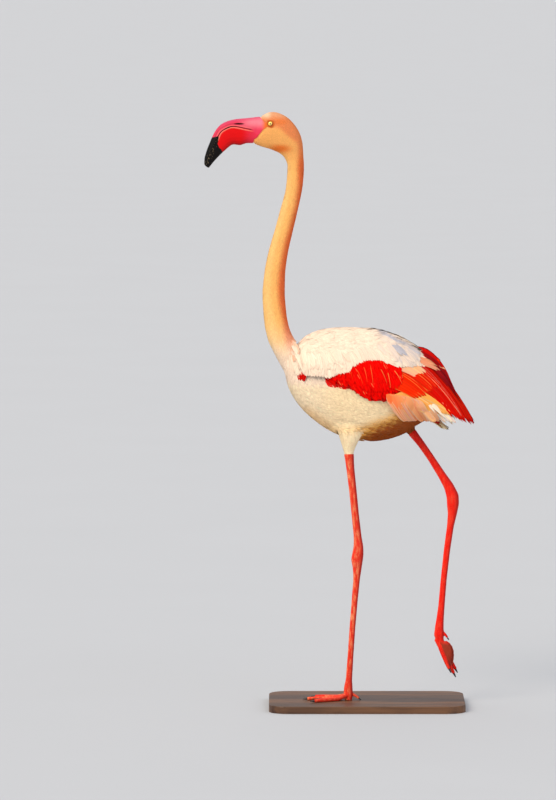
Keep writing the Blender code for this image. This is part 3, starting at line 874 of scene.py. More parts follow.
@dataclass(frozen=True)
class Markings:
    """The colours of plumage and skin by place, shared by the coat and by what is under it."""

    # The neck's colours carry painted light: a lit front, a shaded back, and partly the warm tint of low
    # sunlight.
    neck_front_lit: Colour = display(255, 200, 128)
    neck_side: Colour = display(252, 182, 104)
    neck_back_shaded: Colour = display(226, 104, 56)
    cheek: Colour = display(240, 168, 96)
    crown: Colour = display(230, 160, 118)
    forehead: Colour = display(246, 204, 168)
    nape: Colour = display(228, 134, 84)
    eyebrow: Colour = display(230, 120, 62)
    throat: Colour = display(224, 100, 30)
    breast: Colour = display(250, 224, 188)
    mantle: Colour = display(246, 218, 194)
    mantle_groove_shadow: Colour = display(184, 180, 188)
    belly: Colour = display(250, 220, 176)
    # Painted shade under the belly: gold, then brown towards the underside.
    belly_gold_shade: Colour = display(240, 176, 86)
    belly_brown_shadow: Colour = display(140, 54, 4)
    thigh: Colour = display(253, 224, 182)
    scarlet: Colour = display(236, 10, 6)
    tertial: Colour = display(176, 14, 10)
    rose: Colour = display(220, 54, 84)
    rose_base: Colour = display(236, 126, 140)
    culmen: Colour = display(198, 62, 100)
    crimson: Colour = display(222, 2, 8)
    keel_shade: Colour = display(168, 2, 6)
    # Painted shade for the underside of the lower bill.
    lore_orange: Colour = display(236, 104, 36)
    lid: Colour = display(214, 104, 34)
    lid_rim: Colour = display(120, 44, 14)
    # Painted shade for the legs' rear side.
    leg: Colour = display(240, 56, 34)
    leg_back_shade: Colour = display(178, 24, 18)
    far_leg: Colour = display(252, 28, 8)
    web: Colour = display(146, 46, 26)

    def plumage(self, bird: Bird, points: Array) -> Array:
        """The colour of the coat at these places."""
        x, _, z = bird.heights(points)
        _, _, _, ahead = bird.locate(points)
        fore = np.clip(ahead / (18 * MM), -1, 1)
        neck = np.broadcast_to(np.asarray(self.neck_side), (len(x), 3))
        # Painted light and shade: the neck is lighter towards its front, where the light falls, and
        # darker and redder towards its back, in shade.
        neck = blend(neck, self.neck_front_lit, fade(fore, 0.0, 0.8) * 0.8)
        neck = blend(neck, self.neck_back_shaded, fade(-fore, 0.05, 0.85))
        neck = blend(neck, self.breast, (1 - fade(z, 700, 790)) * 0.55)
        head = blend(neck, self.cheek, fade(z, 1090, 1125) * (1 - 0.75 * fade(-fore, 0.0, 0.8)))
        head = blend(head, self.nape, fade(-fore, 0.1, 0.9) * fade(z, 1105, 1140) * 0.75)
        head = blend(head, self.crown, fade(z, 1184, 1198))
        head = blend(head, self.forehead, fade(z, 1184, 1196) * fade(-x, 192, 206))
        brow = np.hypot((x + 178) / 16, (z - 1181) / 6.5)
        head = blend(head, self.eyebrow, 0.8 * (1 - fade(brow, 0.4, 1.25)))
        low = np.hypot((x + 178) / 24, (z - 1128) / 9)
        head = blend(head, self.throat, 0.85 * (1 - fade(low, 0.2, 1.4)))
        body = np.broadcast_to(np.asarray(self.belly), (len(x), 3))
        body = blend(body, self.breast, fade(-x, 60, 130))
        # Painted shade: towards its underside the belly turns gold and then mottled brown, where shade
        # falls under the body.
        low = z - np.interp(x, (-122, -62, -30, 0, 40, 70, 118), (578, 530, 530, 544, 561, 575, 589))
        body = blend(body, self.belly_gold_shade, fade(-low, -44, -12) * (0.45 + 0.55 * fade(x, -60, -10)))
        mottle = np.sin(x * 0.31 + z * 0.17) * np.sin(z * 0.43 - x * 0.12) * 7
        body = blend(body, self.belly_brown_shadow, fade(mottle - low, -30, 3) * fade(x, -45, 10) * 0.95)
        body = blend(body, self.mantle, fade(z - edge_height(MANTLE_EDGE, x), -22, -2))
        # Painted shade: blue-grey stripes along the groove between the wings on the top of the back,
        # where shade falls.
        below = z - 739 + (x - 46) * 0.50
        blue = np.hypot((x - 46) / 66, below / 14)
        stripes = 0.55 + 0.45 * np.sin(below / 2.6 + np.sin(x / 19))
        body = blend(body, self.mantle_groove_shadow, stripes * (1 - fade(blue, 0.3, 1.2)))
        # Only the near thigh turns pale; the far thigh keeps the belly's painted shade.
        body = blend(body, self.thigh, bird.thighness(points) * (points[:, 1] < 0))
        inside = self.in_wing(x, z)
        body = blend(body, self.scarlet, inside)
        body = blend(body, self.tertial, inside * fade(x, 85, 130))
        return blend(body, head, bird.neckness(points))

    def bill(self, bird: Bird, points: Array, normals: Array, upper: Array) -> Array:
        """The colours of the bill and of the bare skin behind it.

        Args:
            bird: The bird.
            points: Places on it.
            normals: The normals there.
            upper: 1 on the upper half of the bill, 0 on the lower half.

        Returns:
            A colour for each place.
        """
        x, _, z = bird.heights(points)
        top = np.broadcast_to(np.asarray(self.rose), points.shape)
        top = blend(top, self.rose_base, fade(x, -270, -232) * fade(z, 1163, 1180) * 0.9)
        top = blend(top, self.culmen, fade(normals[:, 2], 0.30, 0.85) * 0.75)
        low = np.broadcast_to(np.asarray(self.crimson), points.shape)
        # Painted shade: the lower half darkens on its downward-facing underside.
        low = blend(low, self.keel_shade, fade(-normals[:, 2], 0.1, 0.8) * 0.8)
        low = blend(low, self.rose, fade(x, -258, -226) * 0.75)
        colour = blend(low, top, upper)
        return blend(colour, self.lore_orange, fade(x, -217, -206) * fade(z, 1150, 1168))

    @staticmethod
    def in_wing(x: Array, z: Array) -> Array:
        """1 where the coloured wing feathers lie, below the mantle and above the belly."""
        top = np.where(x > MANTLE_END, 1e4, edge_height(MANTLE_EDGE, x))
        return ((z < top) & (z > edge_height(WING_EDGE, x)) & (x > -86)).astype(float)

    @staticmethod
    def bare_face(x: Array, z: Array) -> Array:
        """1 on the bare skin before the eye, 0 on the feathered head."""
        table = np.asarray(FACE_EDGE, float)
        edge = np.interp(z, table[:, 1], table[:, 0])
        return fade(edge - x, -0.5, 0.8) * (z > 1100)


# ---------------------------------------------------------------- feathers


@dataclass(frozen=True)
class Vane:
    """The shape of one kind of feather, in millimetres."""

    length: float
    width: float
    point: float = 3.0  # 1.5 is a sharp tip, 6 a round one
    neck: float = 0.22  # share of the length where it widens
    camber: float = 0.10  # arch across, for its width
    thickness: float = 0.35
    ridge: float = 0.10  # height of the shaft
    sweep: float = 0.7  # how far the barbs lean to the tip
    steps: int = 4
    strips: int = 2

    def template(self) -> tuple[Array, Array, Array, Array]:
        """One feather's vertices and faces.

        Returns:
            Each vertex's place along and across, which face it is on (1 outer, -1 inner, 0 edge),
            and the faces as rows of four vertices, the last repeated in a triangle.
        """
        across = np.linspace(-1, 1, self.strips + 1)
        verts, faces, index = [(0.0, 0.0, 0)], [], {}
        for i in range(1, self.steps):
            for k, t in enumerate(across):
                for face in ((0,) if k in (0, self.strips) else (1, -1)):
                    index[i, k, face] = len(verts)
                    verts.append((i / self.steps, t, face))
        tip = len(verts)
        verts.append((1.0, 0.0, 0))

        def at(i: int, k: int, face: int) -> int:
            """The vertex of a row and a column on one face."""
            if i == 0:
                return 0
            if i == self.steps:
                return tip
            return index[i, k, 0 if k in (0, self.strips) else face]

        for i in range(self.steps):
            for k in range(self.strips):
                for face in (1, -1):
                    corners = [at(i, k, face), at(i, k + 1, face), at(i + 1, k + 1, face),
                               at(i + 1, k, face)]
                    corners = corners if face > 0 else [corners[0], *corners[:0:-1]]
                    kept = list(dict.fromkeys(corners))
                    faces.append(kept + [-1] * (4 - len(kept)))
        table = np.array(verts)
        return table[:, 0], table[:, 1], table[:, 2], np.array(faces)

    def half_width(self, s: Array) -> Array:
        """Half the width at this share of the length, in millimetres."""
        opening = np.clip(s / self.neck, 0, 1) ** 0.6
        closing = np.clip(1 - s ** self.point, 0, 1) ** 0.6
        return self.width / 2 * np.maximum(opening * closing, 0.0)


@dataclass
class Spines:
    """The curves that feathers lie on: three points each, and the ways their faces look."""

    root: Array
    middle: Array
    tip: Array
    root_normal: Array
    tip_normal: Array
    fall: Array | None = None  # how far the left and the right margin bend down, in metres

    def __len__(self) -> int:
        """How many there are."""
        return len(self.root)

    def kept(self, chosen: Array) -> "Spines":
        """Only the chosen ones."""
        fall = None if self.fall is None else self.fall[chosen]
        return Spines(self.root[chosen], self.middle[chosen], self.tip[chosen],
                      self.root_normal[chosen], self.tip_normal[chosen], fall)


@dataclass
class Plumage:
    """A coat piece in the making: feathers of several kinds, joined as one mesh."""

    name: str
    place_on_map: Callable[[Array], Array]
    rng: np.random.Generator
    soft: float = 0.0  # how far it is shaded as one downy surface, from 0 to 1
    parts: list[dict] = field(default_factory=list)

    def add(self, spines: Spines, vane: Vane, tint: Array, edge: Array | None = None,
            ragged: float = 0.10) -> None:
        """Lays feathers on the spines.

        Args:
            spines: Where they lie. Their own length sets each feather's length.
            vane: Their shape.
            tint: A colour for each.
            edge: A colour for each one's margin, or nothing for its tint made a little brighter.
            ragged: How much they differ in width and in their twist.
        """
        count = len(spines)
        if not count:
            return
        s, t, face, faces = vane.template()
        wide = 1 + ragged * self.rng.standard_normal((count, 1)).clip(-2, 2)
        twist = 0.6 * ragged * self.rng.standard_normal((count, 1)).clip(-2, 2)
        half = vane.half_width(s)[None, :] * wide * MM
        length = np.linalg.norm(spines.tip - spines.root, axis=1)[:, None]
        run = np.clip(s[None, :] + vane.sweep * np.abs(t) * half / length * (s < 1), 0, 1)[..., None]
        root, middle, tip = (points[:, None] for points in (spines.root, spines.middle, spines.tip))
        centre = (1 - run) ** 2 * root + 2 * run * (1 - run) * middle + run ** 2 * tip
        way = unit((1 - run) * (middle - root) + run * (tip - middle))
        up = unit(spines.root_normal[:, None] * (1 - run) + spines.tip_normal[:, None] * run)
        side = unit(np.cross(way, up))
        # Down lets light through, so a downy feather is as bright from below as from above.
        down = np.where((face < 0) & (self.soft < 0.7), -1.0, 1.0)[None, :, None]
        shading = unit(up * down + side * (t * 0.30)[None, :, None])
        side = unit(side + up * twist[..., None])
        up = np.cross(side, way)
        body = np.sin(math.pi * np.clip(s * 0.9 + 0.08, 0, 1))
        lens = face * (1 - t ** 2) * vane.thickness / 2 * body
        shaft = np.where(face > 0, vane.ridge * np.exp(-((t / 0.25) ** 2)) * (1 - 0.7 * s), 0.0)
        arch = -vane.camber * vane.width * t ** 2 * (vane.half_width(s) / (vane.width / 2))
        lift = (lens + shaft + arch)[None, :, None] * MM
        if spines.fall is not None:
            fall = np.where(t[None, :] < 0, spines.fall[:, :1], spines.fall[:, 1:])
            lift = lift - (fall * (t * vane.half_width(s) / (vane.width / 2)) ** 2)[..., None]
        verts = centre + side * (t[None, :] * half)[..., None] + up * lift
        tint = np.asarray(tint, float)
        shade = 1 + 0.05 * self.rng.standard_normal((count, 1)).clip(-2, 2)
        tint = np.clip(tint * shade, 0, 1)
        if edge is None:
            edge = tint * 1.18
        spot = self.place_on_map(spines.root)
        vane_uv = np.stack([run[..., 0] * length * 10, 0.5 + t[None, :] * half * 10], axis=-1)
        patch = np.stack(np.broadcast_arrays((s - 0.5)[None, :], (t * 0.5)[None, :]), axis=-1)
        bake_uv = spot[:, None] + patch * BAKE_PATCH
        self.parts.append({
            "verts": verts.reshape(-1, 3), "shading": shading.reshape(-1, 3), "faces": faces,
            "count": count, "size": len(s),
            "tint": np.repeat(tint, len(s), axis=0),
            "edge": np.repeat(np.clip(edge, 0, 1), len(s), axis=0),
            "along": np.tile(s, count), "across": np.tile(t, count),
            "vane": vane_uv.reshape(-1, 2), "bake": bake_uv.reshape(-1, 2),
        })

    def build(self) -> bpy.types.Object:
        """The object of all the feathers that were added."""
        loops, totals, start = [], [], 0
        for part in self.parts:
            offset = start + np.arange(part["count"]) * part["size"]
            faces = part["faces"][None]
            rows = np.where(faces >= 0, faces + offset[:, None, None], -1).reshape(-1, 4)
            totals.append((rows >= 0).sum(axis=1))
            loops.append(rows[rows >= 0])
            start += part["count"] * part["size"]
        corner, total = np.concatenate(loops), np.concatenate(totals)
        mesh = bpy.data.meshes.new(self.name)
        mesh.vertices.add(start)
        mesh.loops.add(len(corner))
        mesh.polygons.add(len(total))
        gathered = {key: np.concatenate([part[key] for part in self.parts])
                    for key in ("verts", "shading", "tint", "edge", "along", "across", "vane", "bake")}
        mesh.vertices.foreach_set("co", gathered["verts"].astype(np.float32).ravel())
        mesh.loops.foreach_set("vertex_index", corner.astype(np.int32))
        starts = np.concatenate([[0], np.cumsum(total)[:-1]])
        mesh.polygons.foreach_set("loop_start", starts.astype(np.int32))
        mesh.update(calc_edges=True)
        for name, key in ((BAKE_MAP, "bake"), (VANE_MAP, "vane")):
            layer = mesh.uv_layers.new(name=name)
            layer.data.foreach_set("uv", gathered[key][corner].astype(np.float32).ravel())
        for key in ("tint", "edge", "along", "across"):
            store(mesh, key, gathered[key])
        mesh.shade_smooth()
        if self.soft:
            downy = gathered["shading"] * self.soft
            normals = unit(downy + normals_of(mesh) * (1 - self.soft))
            mesh.normals_split_custom_set_from_vertices(normals.tolist())
        return object_of(self.name, mesh)


# ---------------------------------------------------------------- skin


@dataclass
class Skin:
    """The bird's skin: one surface from the face to the toes, under the coat by its depth."""

    bird: Bird
    markings: Markings
    finish: SkinFinish = SkinFinish()
    body_face: float = 3.0 * MM
    head_face: float = 0.7 * MM
    leg_face: float = 0.85 * MM
    grow: float = 0.4 * MM
    lid_radius: float = 1.2 * MM
    mouth_corner: float = -236.5 * MM
    seam: float = 10.0 * MM  # over which the bill's skin runs out onto the horn
    seam_depth: float = 0.42  # how far it sinks there, in millimetres
    scute: float = 4.6  # length of a scute down the leg, in millimetres
    scute_rise: float = 0.28 * MM
    fold_ball: float = 8.0 * MM  # fills the bend between the lifted leg and its webs

    BODY = ("neck_upper", "neck_middle", "neck_lower", "trunk", "thigh_left", "thigh_right")
    wing_flesh: float = 30 * MM  # behind this the wings are feathers alone
    wing_share: float = 0.74  # how far down the flesh of the wings reaches
    tail_flesh: float = 118 * MM
    LEG = ("shank", "ankle", "tarsus", "toe_inner", "toe_middle", "toe_outer", "toe_hind",
           "web_inner", "web_middle")

    def outline(self, winged: bool) -> Surface:
        """The outer surface of the coat, where feather tips come to, with or without the wings."""
        nodes = ("head", "eye_left", "eye_right", *self.BODY, "tail")
        nodes += ("wing_left", "wing_right") if winged else ("shank_left", "shank_right")
        obj = remeshed("outline", copy_of(nodes, self.grow), self.body_face, 8)
        surface = Surface.of(obj.data)
        bpy.data.objects.remove(obj)
        return surface

    def wing(self, side: str) -> bmesh.types.BMesh:
        """The flesh of a folded wing, inside its feathers."""
        shape = cut_off(copy_of((f"wing_{side}",), 0.0), self.wing_flesh, -1)
        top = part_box(f"wing_{side}")[1].z
        bmesh.ops.scale(shape, vec=(1.0, 0.97, self.wing_share), verts=shape.verts,
                        space=Matrix.Translation((0, 0, -top)))
        return shape

    def depth(self, points: Array) -> Array:
        """How deep the skin lies under the coat, in metres."""
        x, _, z = self.bird.heights(points)
        neck = self.bird.neckness(points)
        trunk = 5.6 - 2.6 * self.bird.thighness(points)
        head = 2.8 - 1.4 * fade(z, 1090, 1130)
        bare = self.markings.bare_face(x, z)
        feathered = (1 - bare) * fade(self.bird.from_eye(points), 7.8, 10.0)
        return (trunk * (1 - neck) + head * neck * feathered) * MM

    def sunk(self, obj: bpy.types.Object) -> bpy.types.Object:
        """The object with its skin moved in by the coat's depth, and never through a thin part."""
        surface = Surface.of(obj.data)
        room = np.empty(len(surface.points))
        for row, (point, normal) in enumerate(zip(surface.points, surface.normals)):
            way = Vector(-normal)
            _, _, _, distance = surface.tree.ray_cast(Vector(point) + way * 2e-4, way)
            room[row] = distance or 0.0
        depth = np.minimum(self.depth(surface.points), room * 0.38)
        set_points(obj.data, surface.points - surface.normals * depth[:, None])
        return obj

    def ring(self, side: str, radius: float, thickness: float, proud: float) -> bmesh.types.BMesh:
        """A rounded fold of skin in a ring about an eye.

        Args:
            side: Which eye.
            radius: The ring's own radius.
            thickness: The fold's radius.
            proud: How far its middle stands out from the eyeball.

        Returns:
            The fold, closed.
        """
        eye, sign = self.bird.eye[side], SIDES[side]
        reach = self.bird.eye_radius + proud
        out = math.sqrt(max(reach ** 2 - radius ** 2, 0.0))
        turn = Matrix.Rotation(math.radians(8), 4, "Y")
        shape = bmesh.new()
        upright = Matrix.Rotation(math.pi / 2, 4, "X")
        bmesh.ops.create_circle(shape, segments=12, radius=thickness,
                                matrix=Matrix.Translation((radius, 0, 0)) @ upright)
        bmesh.ops.spin(shape, geom=shape.edges[:] + shape.verts[:], cent=(0, 0, 0), axis=(0, 0, 1),
                       angle=2 * math.pi, steps=40, use_merge=True, use_duplicate=False)
        bmesh.ops.remove_doubles(shape, verts=shape.verts, dist=1e-6)
        bmesh.ops.scale(shape, vec=(1.10, 0.94, 1.0), verts=shape.verts)
        flat = Matrix.Translation(eye + Vector((0, sign * out, 0))) @ turn @ upright
        bmesh.ops.transform(shape, matrix=flat, verts=shape.verts)
        bmesh.ops.recalc_face_normals(shape, faces=shape.faces)
        return shape

    def head(self) -> bpy.types.Object:
        """The head's skin, with its eye sockets, lids and the folds round them."""
        shape = copy_of(("head",), self.grow)
        bill = cut_off(copy_of(("bill_upper", "bill_lower"), 0.3 * MM), self.mouth_corner, 1)
        extras = [bill]
        for side, sign in SIDES.items():
            eye = self.bird.eye[side]
            ball = bmesh.new()
            inwards = Matrix.Translation(eye - Vector((0, sign * 1.7 * MM, 0)))
            bmesh.ops.create_uvsphere(ball, u_segments=32, v_segments=20,
                                      radius=self.bird.eye_radius + 0.8 * MM, matrix=inwards)
            extras += [ball, self.ring(side, 6.3 * MM, self.lid_radius, 0.2 * MM),
                       self.ring(side, 7.7 * MM, 0.7 * MM, 1.0 * MM)]
        obj = self.sunk(remeshed("skin_head", joined(shape, *extras), self.head_face, 3))
        points = points_of(obj.data)
        edge = 1 - fade(points[:, 0], self.mouth_corner, self.mouth_corner + self.seam)
        set_points(obj.data, points - normals_of(obj.data) * (edge * self.seam_depth * MM)[:, None])
        return thinned(obj, 0.46)

    def legs(self) -> bpy.types.Object:
        """Both bare legs and feet, with their scutes raised."""
        nodes = [f"{part}_{side}" for side in SIDES for part in self.LEG]
        leg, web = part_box("tarsus_right"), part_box("web_inner_right")
        fold = Vector((web[0].x + 2 * MM, (leg[0].y + leg[1].y) / 2, leg[0].z))
        ball = bmesh.new()
        bmesh.ops.create_uvsphere(ball, u_segments=24, v_segments=16, radius=self.fold_ball,
                                  matrix=Matrix.Translation(fold))
        obj = remeshed("skin_legs", joined(copy_of(nodes, self.grow), ball), self.leg_face, 5)
        points = points_of(obj.data)
        near = 1 - fade(np.linalg.norm(points - np.array(fold), axis=1) / MM, 11, 18)
        points = evened(obj.data, points, 30, near * 0.5)
        _, _, z = self.bird.heights(points)
        left = points[:, 1] < 0
        tube = np.where(left, fade(z, 30, 48), fade(z, 128, 146))
        flowing = evened(obj.data, points, 220, tube * 0.5)
        set_points(obj.data, flowing)
        normals = normals_of(obj.data)
        lost = evened(obj.data, ((points - flowing) * normals).sum(axis=1), 320)
        points = flowing + normals * (lost * tube)[:, None]
        front = fade(-normals[:, 0], 0.05, 0.5)
        rise = (np.abs(np.sin(math.pi * z / self.scute)) ** 0.5 - 0.7) * front
        foot = np.where(left, fade(-z, -26, -16), fade(-z, -122, -108))
        hub = np.where(left[:, None], self.hub("left"), self.hub("right"))
        reach = np.linalg.norm(points - hub, axis=1) / MM
        toes = np.abs(np.sin(math.pi * ((reach / (self.scute * 0.7)) % 1.0))) ** 0.5 - 0.7
        rise = rise * (1 - foot) + toes * foot * 0.7
        set_points(obj.data, points + normals * (rise * self.scute_rise)[:, None])
        return thinned(obj, 0.40)

    def hub(self, side: str) -> Array:
        """The middle of the joint that a foot's toes spread from."""
        low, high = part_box(f"tarsus_{side}")
        return np.array(((low.x + high.x) / 2, (low.y + high.y) / 2, low.z + 8 * MM))

    def build(self) -> bpy.types.Object:
        """The whole skin, in its place and dressed."""
        shape = joined(copy_of(self.BODY, self.grow),
                       cut_off(copy_of(("tail",), self.grow), self.tail_flesh, -1),
                       *(self.wing(side) for side in SIDES))
        body = thinned(self.sunk(remeshed("skin", shape, self.body_face, 8)), 0.35)
        for part in (self.head(), self.legs()):
            union = body.modifiers.new("union", "BOOLEAN")
            union.operation, union.solver, union.object = "UNION", "MANIFOLD", part
            settled(body)
            LOG.info("%s joined: %d faces", part.name, len(body.data.polygons))
            bpy.data.objects.remove(part)
        points, normals = points_of(body.data), normals_of(body.data)
        self.mark(body.data, points, normals)
        nodes = ["head", *self.BODY] + [f"{part}_{side}" for side in SIDES for part in self.LEG]
        return taken(body, self.finish.dress(), "leg_skin", *nodes)

    def mark(self, mesh: bpy.types.Mesh, points: Array, normals: Array) -> None:
        """Stores the skin's colours, where it is scaly, and where painted highlights fall on its scales.
        """
        marks = self.markings
        x, out, z = self.bird.heights(points)
        tint = marks.plumage(self.bird, points)
        bare = marks.bare_face(x, z)
        upper = fade(z - edge_height(GAPE, x), -2.5, 1.5)
        tint = blend(tint, marks.bill(self.bird, points, normals, upper), bare)
        ring = self.bird.from_eye(points)
        tint = blend(tint, marks.lid, 1 - fade(ring, 7.8, 9.6))
        # The thin line at 7 mm is painted shade in the fold between the lid's two rings; inside 6 mm the
        # lid's edge is dark.
        crease = 0.35 * np.exp(-(((ring - 7.0) / 0.5) ** 2)) + 0.9 * (1 - fade(ring, 5.4, 6.4))
        tint = blend(tint, marks.lid_rim, crease.clip(0, 1))
        left = points[:, 1] < 0
        top = np.where(left, 512, 549)
        leg = (z < top) & ((z < 500) | (np.hypot(x + 37.5, out - 35) < 13) | (x > 84))
        colour = np.where(left[:, None], np.asarray(marks.leg), np.asarray(marks.far_leg))
        # Painted shade: the legs turn darker red on their rear side, away from the light.
        colour = blend(colour, marks.leg_back_shade, fade(normals[:, 0], 0.1, 0.9) * 0.8)
        foot = np.where(left, fade(-z, -14, -6), fade(-z, -118, -104))
        hub = np.where(left[:, None], self.hub("left"), self.hub("right"))
        web = self.web_share(points)
        colour = blend(colour, marks.web, web * foot)
        tint = np.where(leg[:, None], colour, tint)
        # Painted highlight mask: strongest where the near leg faces the light, weak on the far leg.
        lit = fade(-normals[:, 0] - normals[:, 1] * 0.8, -0.1, 0.9) * np.where(left, 1.0, 0.15)
        store(mesh, "tint", tint)
        store(mesh, "scaly", leg.astype(float) * (1 - web * foot * 0.7))
        store(mesh, "lit", lit)
        reach = np.linalg.norm(points - hub, axis=1) / MM
        store(mesh, "run", np.where(foot > 0.5, reach * 1.5, z) / self.scute)
        front = np.where(foot > 0.5, fade(normals[:, 2], 0.3, 0.8), fade(-normals[:, 0], 0.3, 0.75))
        store(mesh, "front", front)

    def web_share(self, points: Array) -> Array:
        """1 on the webs, 0 on the toes."""
        trees = {}
        for kind in ("toe", "web"):
            names = [f"{kind}_{part}_{side}" for side in SIDES for part in ("inner", "middle", "outer")
                     if f"{kind}_{part}_{side}" in bpy.data.objects]
            shape = copy_of(names, 0.0)
            trees[kind] = BVHTree.FromBMesh(shape)
            shape.free()
        share = np.zeros(len(points))
        low = (points[:, 2] - self.bird.sole) / MM < 135
        for row in np.nonzero(low)[0]:
            place = Vector(points[row])
            toe, web = (trees[kind].find_nearest(place)[3] for kind in ("toe", "web"))
            share[row] = 1.0 if web < toe else 0.0
        return share


# ---------------------------------------------------------------- bill, eyes, claws


class Half(Enum):
    """The halves of the bill, by their nodes."""

    UPPER = "bill_upper"
    LOWER = "bill_lower"


@dataclass
class Bill:
    """The bent bill: rose above, crimson below, with a black tip and pale edges to the gape."""

    bird: Bird
    markings: Markings
    finish: HornFinish = HornFinish("polished_horn")
    face: float = 0.75 * MM
    ridge_height: float = 0.3  # of the raised edges along the gape, in millimetres
    rim: Colour = display(250, 140, 120)
    # Painted shade in the gap between the halves, the groove, the nostril and the mouth's inside.
    gap_shade: Colour = display(62, 6, 10)
    # On the upper half, black lies below this line of (x, height).
    UPPER_BORDER = ((-320, 1148), (-314, 1149), (-302, 1153), (-296, 1158))
    # On the lower half, black lies before this line of (height, x).
    LOWER_BORDER = ((1108, -289), (1119, -293.5), (1134, -304), (1151, -302))

    def build(self) -> list[bpy.types.Object]:
        """Both halves of the bill."""
        halves = {half: remeshed(f"{half.value}_horn", copy_of((half.value,), 0.15 * MM), self.face, 10)
                  for half in Half}
        surfaces = {half: Surface.of(obj.data) for half, obj in halves.items()}
        made = []
        for half, other in ((Half.UPPER, Half.LOWER), (Half.LOWER, Half.UPPER)):
            obj, surface = halves[half], surfaces[half]
            near, _ = surfaces[other].nearest(surface.points)
            gap = evened(obj.data, np.linalg.norm(surface.points - near, axis=1) / MM, 8)
            x = surface.points[:, 0] / MM
            black = self.blackness(half, surface.points)
            ridge = np.exp(-(((gap - 2.6) / 1.1) ** 2)) * (1 - black * 0.8)
            ridge = ridge * fade(-x, 234, 244) - self.groove(half, surface.points, gap) * 1.4
            ridge = ridge - fade(x, -230, -224) * 2.0
            points = surface.points + surface.normals * (ridge * self.ridge_height * MM)[:, None]
            set_points(obj.data, points)
            store(obj.data, "tint", self.tint(half, points, surface.normals, gap))
            store(obj.data, "black", self.ahead(half, points))
            store(obj.data, "gap", gap)
            made.append(taken(obj, self.material(), "bill_horn", half.value))
        return [*made, self.lining()]

    def material(self) -> bpy.types.Material:
        """The horn, made once."""
        return bpy.data.materials.get(self.finish.name) or self.finish.dress()

    def lining(self) -> bpy.types.Object:
        """The inside of the mouth, a little smaller than the bill all round, dark as painted shade in
        the gap between the halves.
        """
        obj = remeshed("mouth_lining", copy_of(("bill_upper", "bill_lower"), 0.25 * MM), 1.3 * MM, 4)
        points, normals = points_of(obj.data), normals_of(obj.data)
        x, _, _ = self.bird.heights(points)
        inset = np.interp(x, (-316, -298), (0.55, 1.6)) * MM
        set_points(obj.data, points - normals * inset[:, None])
        gap_shade = np.broadcast_to(np.asarray(self.gap_shade), points.shape)
        dark = blend(gap_shade, self.finish.black, fade(-x, 294, 304))
        store(obj.data, "tint", dark)
        store(obj.data, "black", np.full(len(points), -9.0))
        return taken(obj, self.material(), "bill_horn")

    def ahead(self, half: Half, points: Array) -> Array:
        """How far each place is before the black tip's border, in millimetres."""
        x, _, z = self.bird.heights(points)
        wave = 0.45 * np.sin(z * 0.8) + 0.3 * np.sin(x * 1.3 + z * 0.4)
        if half is Half.UPPER:
            return np.minimum(edge_height(self.UPPER_BORDER, x) - z, -294 - x) + wave
        return edge_height(self.LOWER_BORDER, z) - x + wave

    def blackness(self, half: Half, points: Array) -> Array:
        """1 on the black tip, 0 behind it."""
        return fade(self.ahead(half, points), -0.7, 0.7)

    def groove(self, half: Half, points: Array, gap: Array) -> Array:
        """1 in the long groove that runs from the nostril to the tip on the upper half."""
        x, out, _ = self.bird.heights(points)
        line = np.exp(-(((gap - 6.4) / 1.0) ** 2)) * fade(-x, 262, 278)
        return line * fade(out, 2, 5) * (half is Half.UPPER)

    def tint(self, half: Half, points: Array, normals: Array, gap: Array) -> Array:
        """The colours of one half."""
        x, out, z = self.bird.heights(points)
        upper = float(half is Half.UPPER)
        colour = self.markings.bill(self.bird, points, normals, np.full(len(x), upper))
        rim = np.exp(-(((gap - 3.0) / 0.9) ** 2)) * fade(out, 4, 8)
        colour = blend(colour, self.rim, rim * (0.8 - 0.4 * upper) * fade(-x, 226, 244))
        # Painted shade: the groove, the narrow gap between the halves and the nostril turn dark where
        # shade falls in them.
        colour = blend(colour, self.gap_shade, self.groove(half, points, gap) * 0.35)
        open_wide = 0.8 + 1.3 * np.exp(-(((x + 283) / 16) ** 2))
        colour = blend(colour, self.gap_shade, 1 - fade(gap, open_wide, open_wide + 0.7))
        nostril = np.hypot((x + 261) / 12.5, (z - 1177) / 2.0)
        inside = (1 - fade(nostril, 0.6, 1.1)) * fade(out, 5, 7) * upper
        return blend(colour, self.gap_shade, inside)


@dataclass
class Eyes:
    """Two eyeballs, each with a low clear bulge before its iris."""

    bird: Bird
    finish: EyeFinish = EyeFinish()
    bulge: float = 0.35 * MM

    def build(self) -> list[bpy.types.Object]:
        """Both eyes."""
        material, made = self.finish.dress(), []
        for side, sign in SIDES.items():
            centre = self.bird.eye[side]
            shape = bmesh.new()
            turn = Matrix.Rotation(-sign * math.pi / 2, 4, "X")
            bmesh.ops.create_uvsphere(shape, u_segments=64, v_segments=48, radius=self.bird.eye_radius,
                                      matrix=Matrix.Translation(centre) @ turn)
            bmesh.ops.recalc_face_normals(shape, faces=shape.faces)
            obj = object_of(f"eyeball_{side}", shape)
            points = points_of(obj.data)
            offset = points - np.array(centre)
            ring = np.hypot(offset[:, 0], offset[:, 2]) / MM
            ring = np.where(offset[:, 1] * sign > 0, ring, 9.0)
            points[:, 1] += sign * self.bulge * np.exp(-((ring / 3.6) ** 2))
            set_points(obj.data, points)
            store(obj.data, "ring", ring)
            store(obj.data, "turn", np.abs(np.arctan2(offset[:, 2], offset[:, 0])) / math.pi)
            made.append(taken(obj, material, "eye", f"eye_{side}"))
        return made


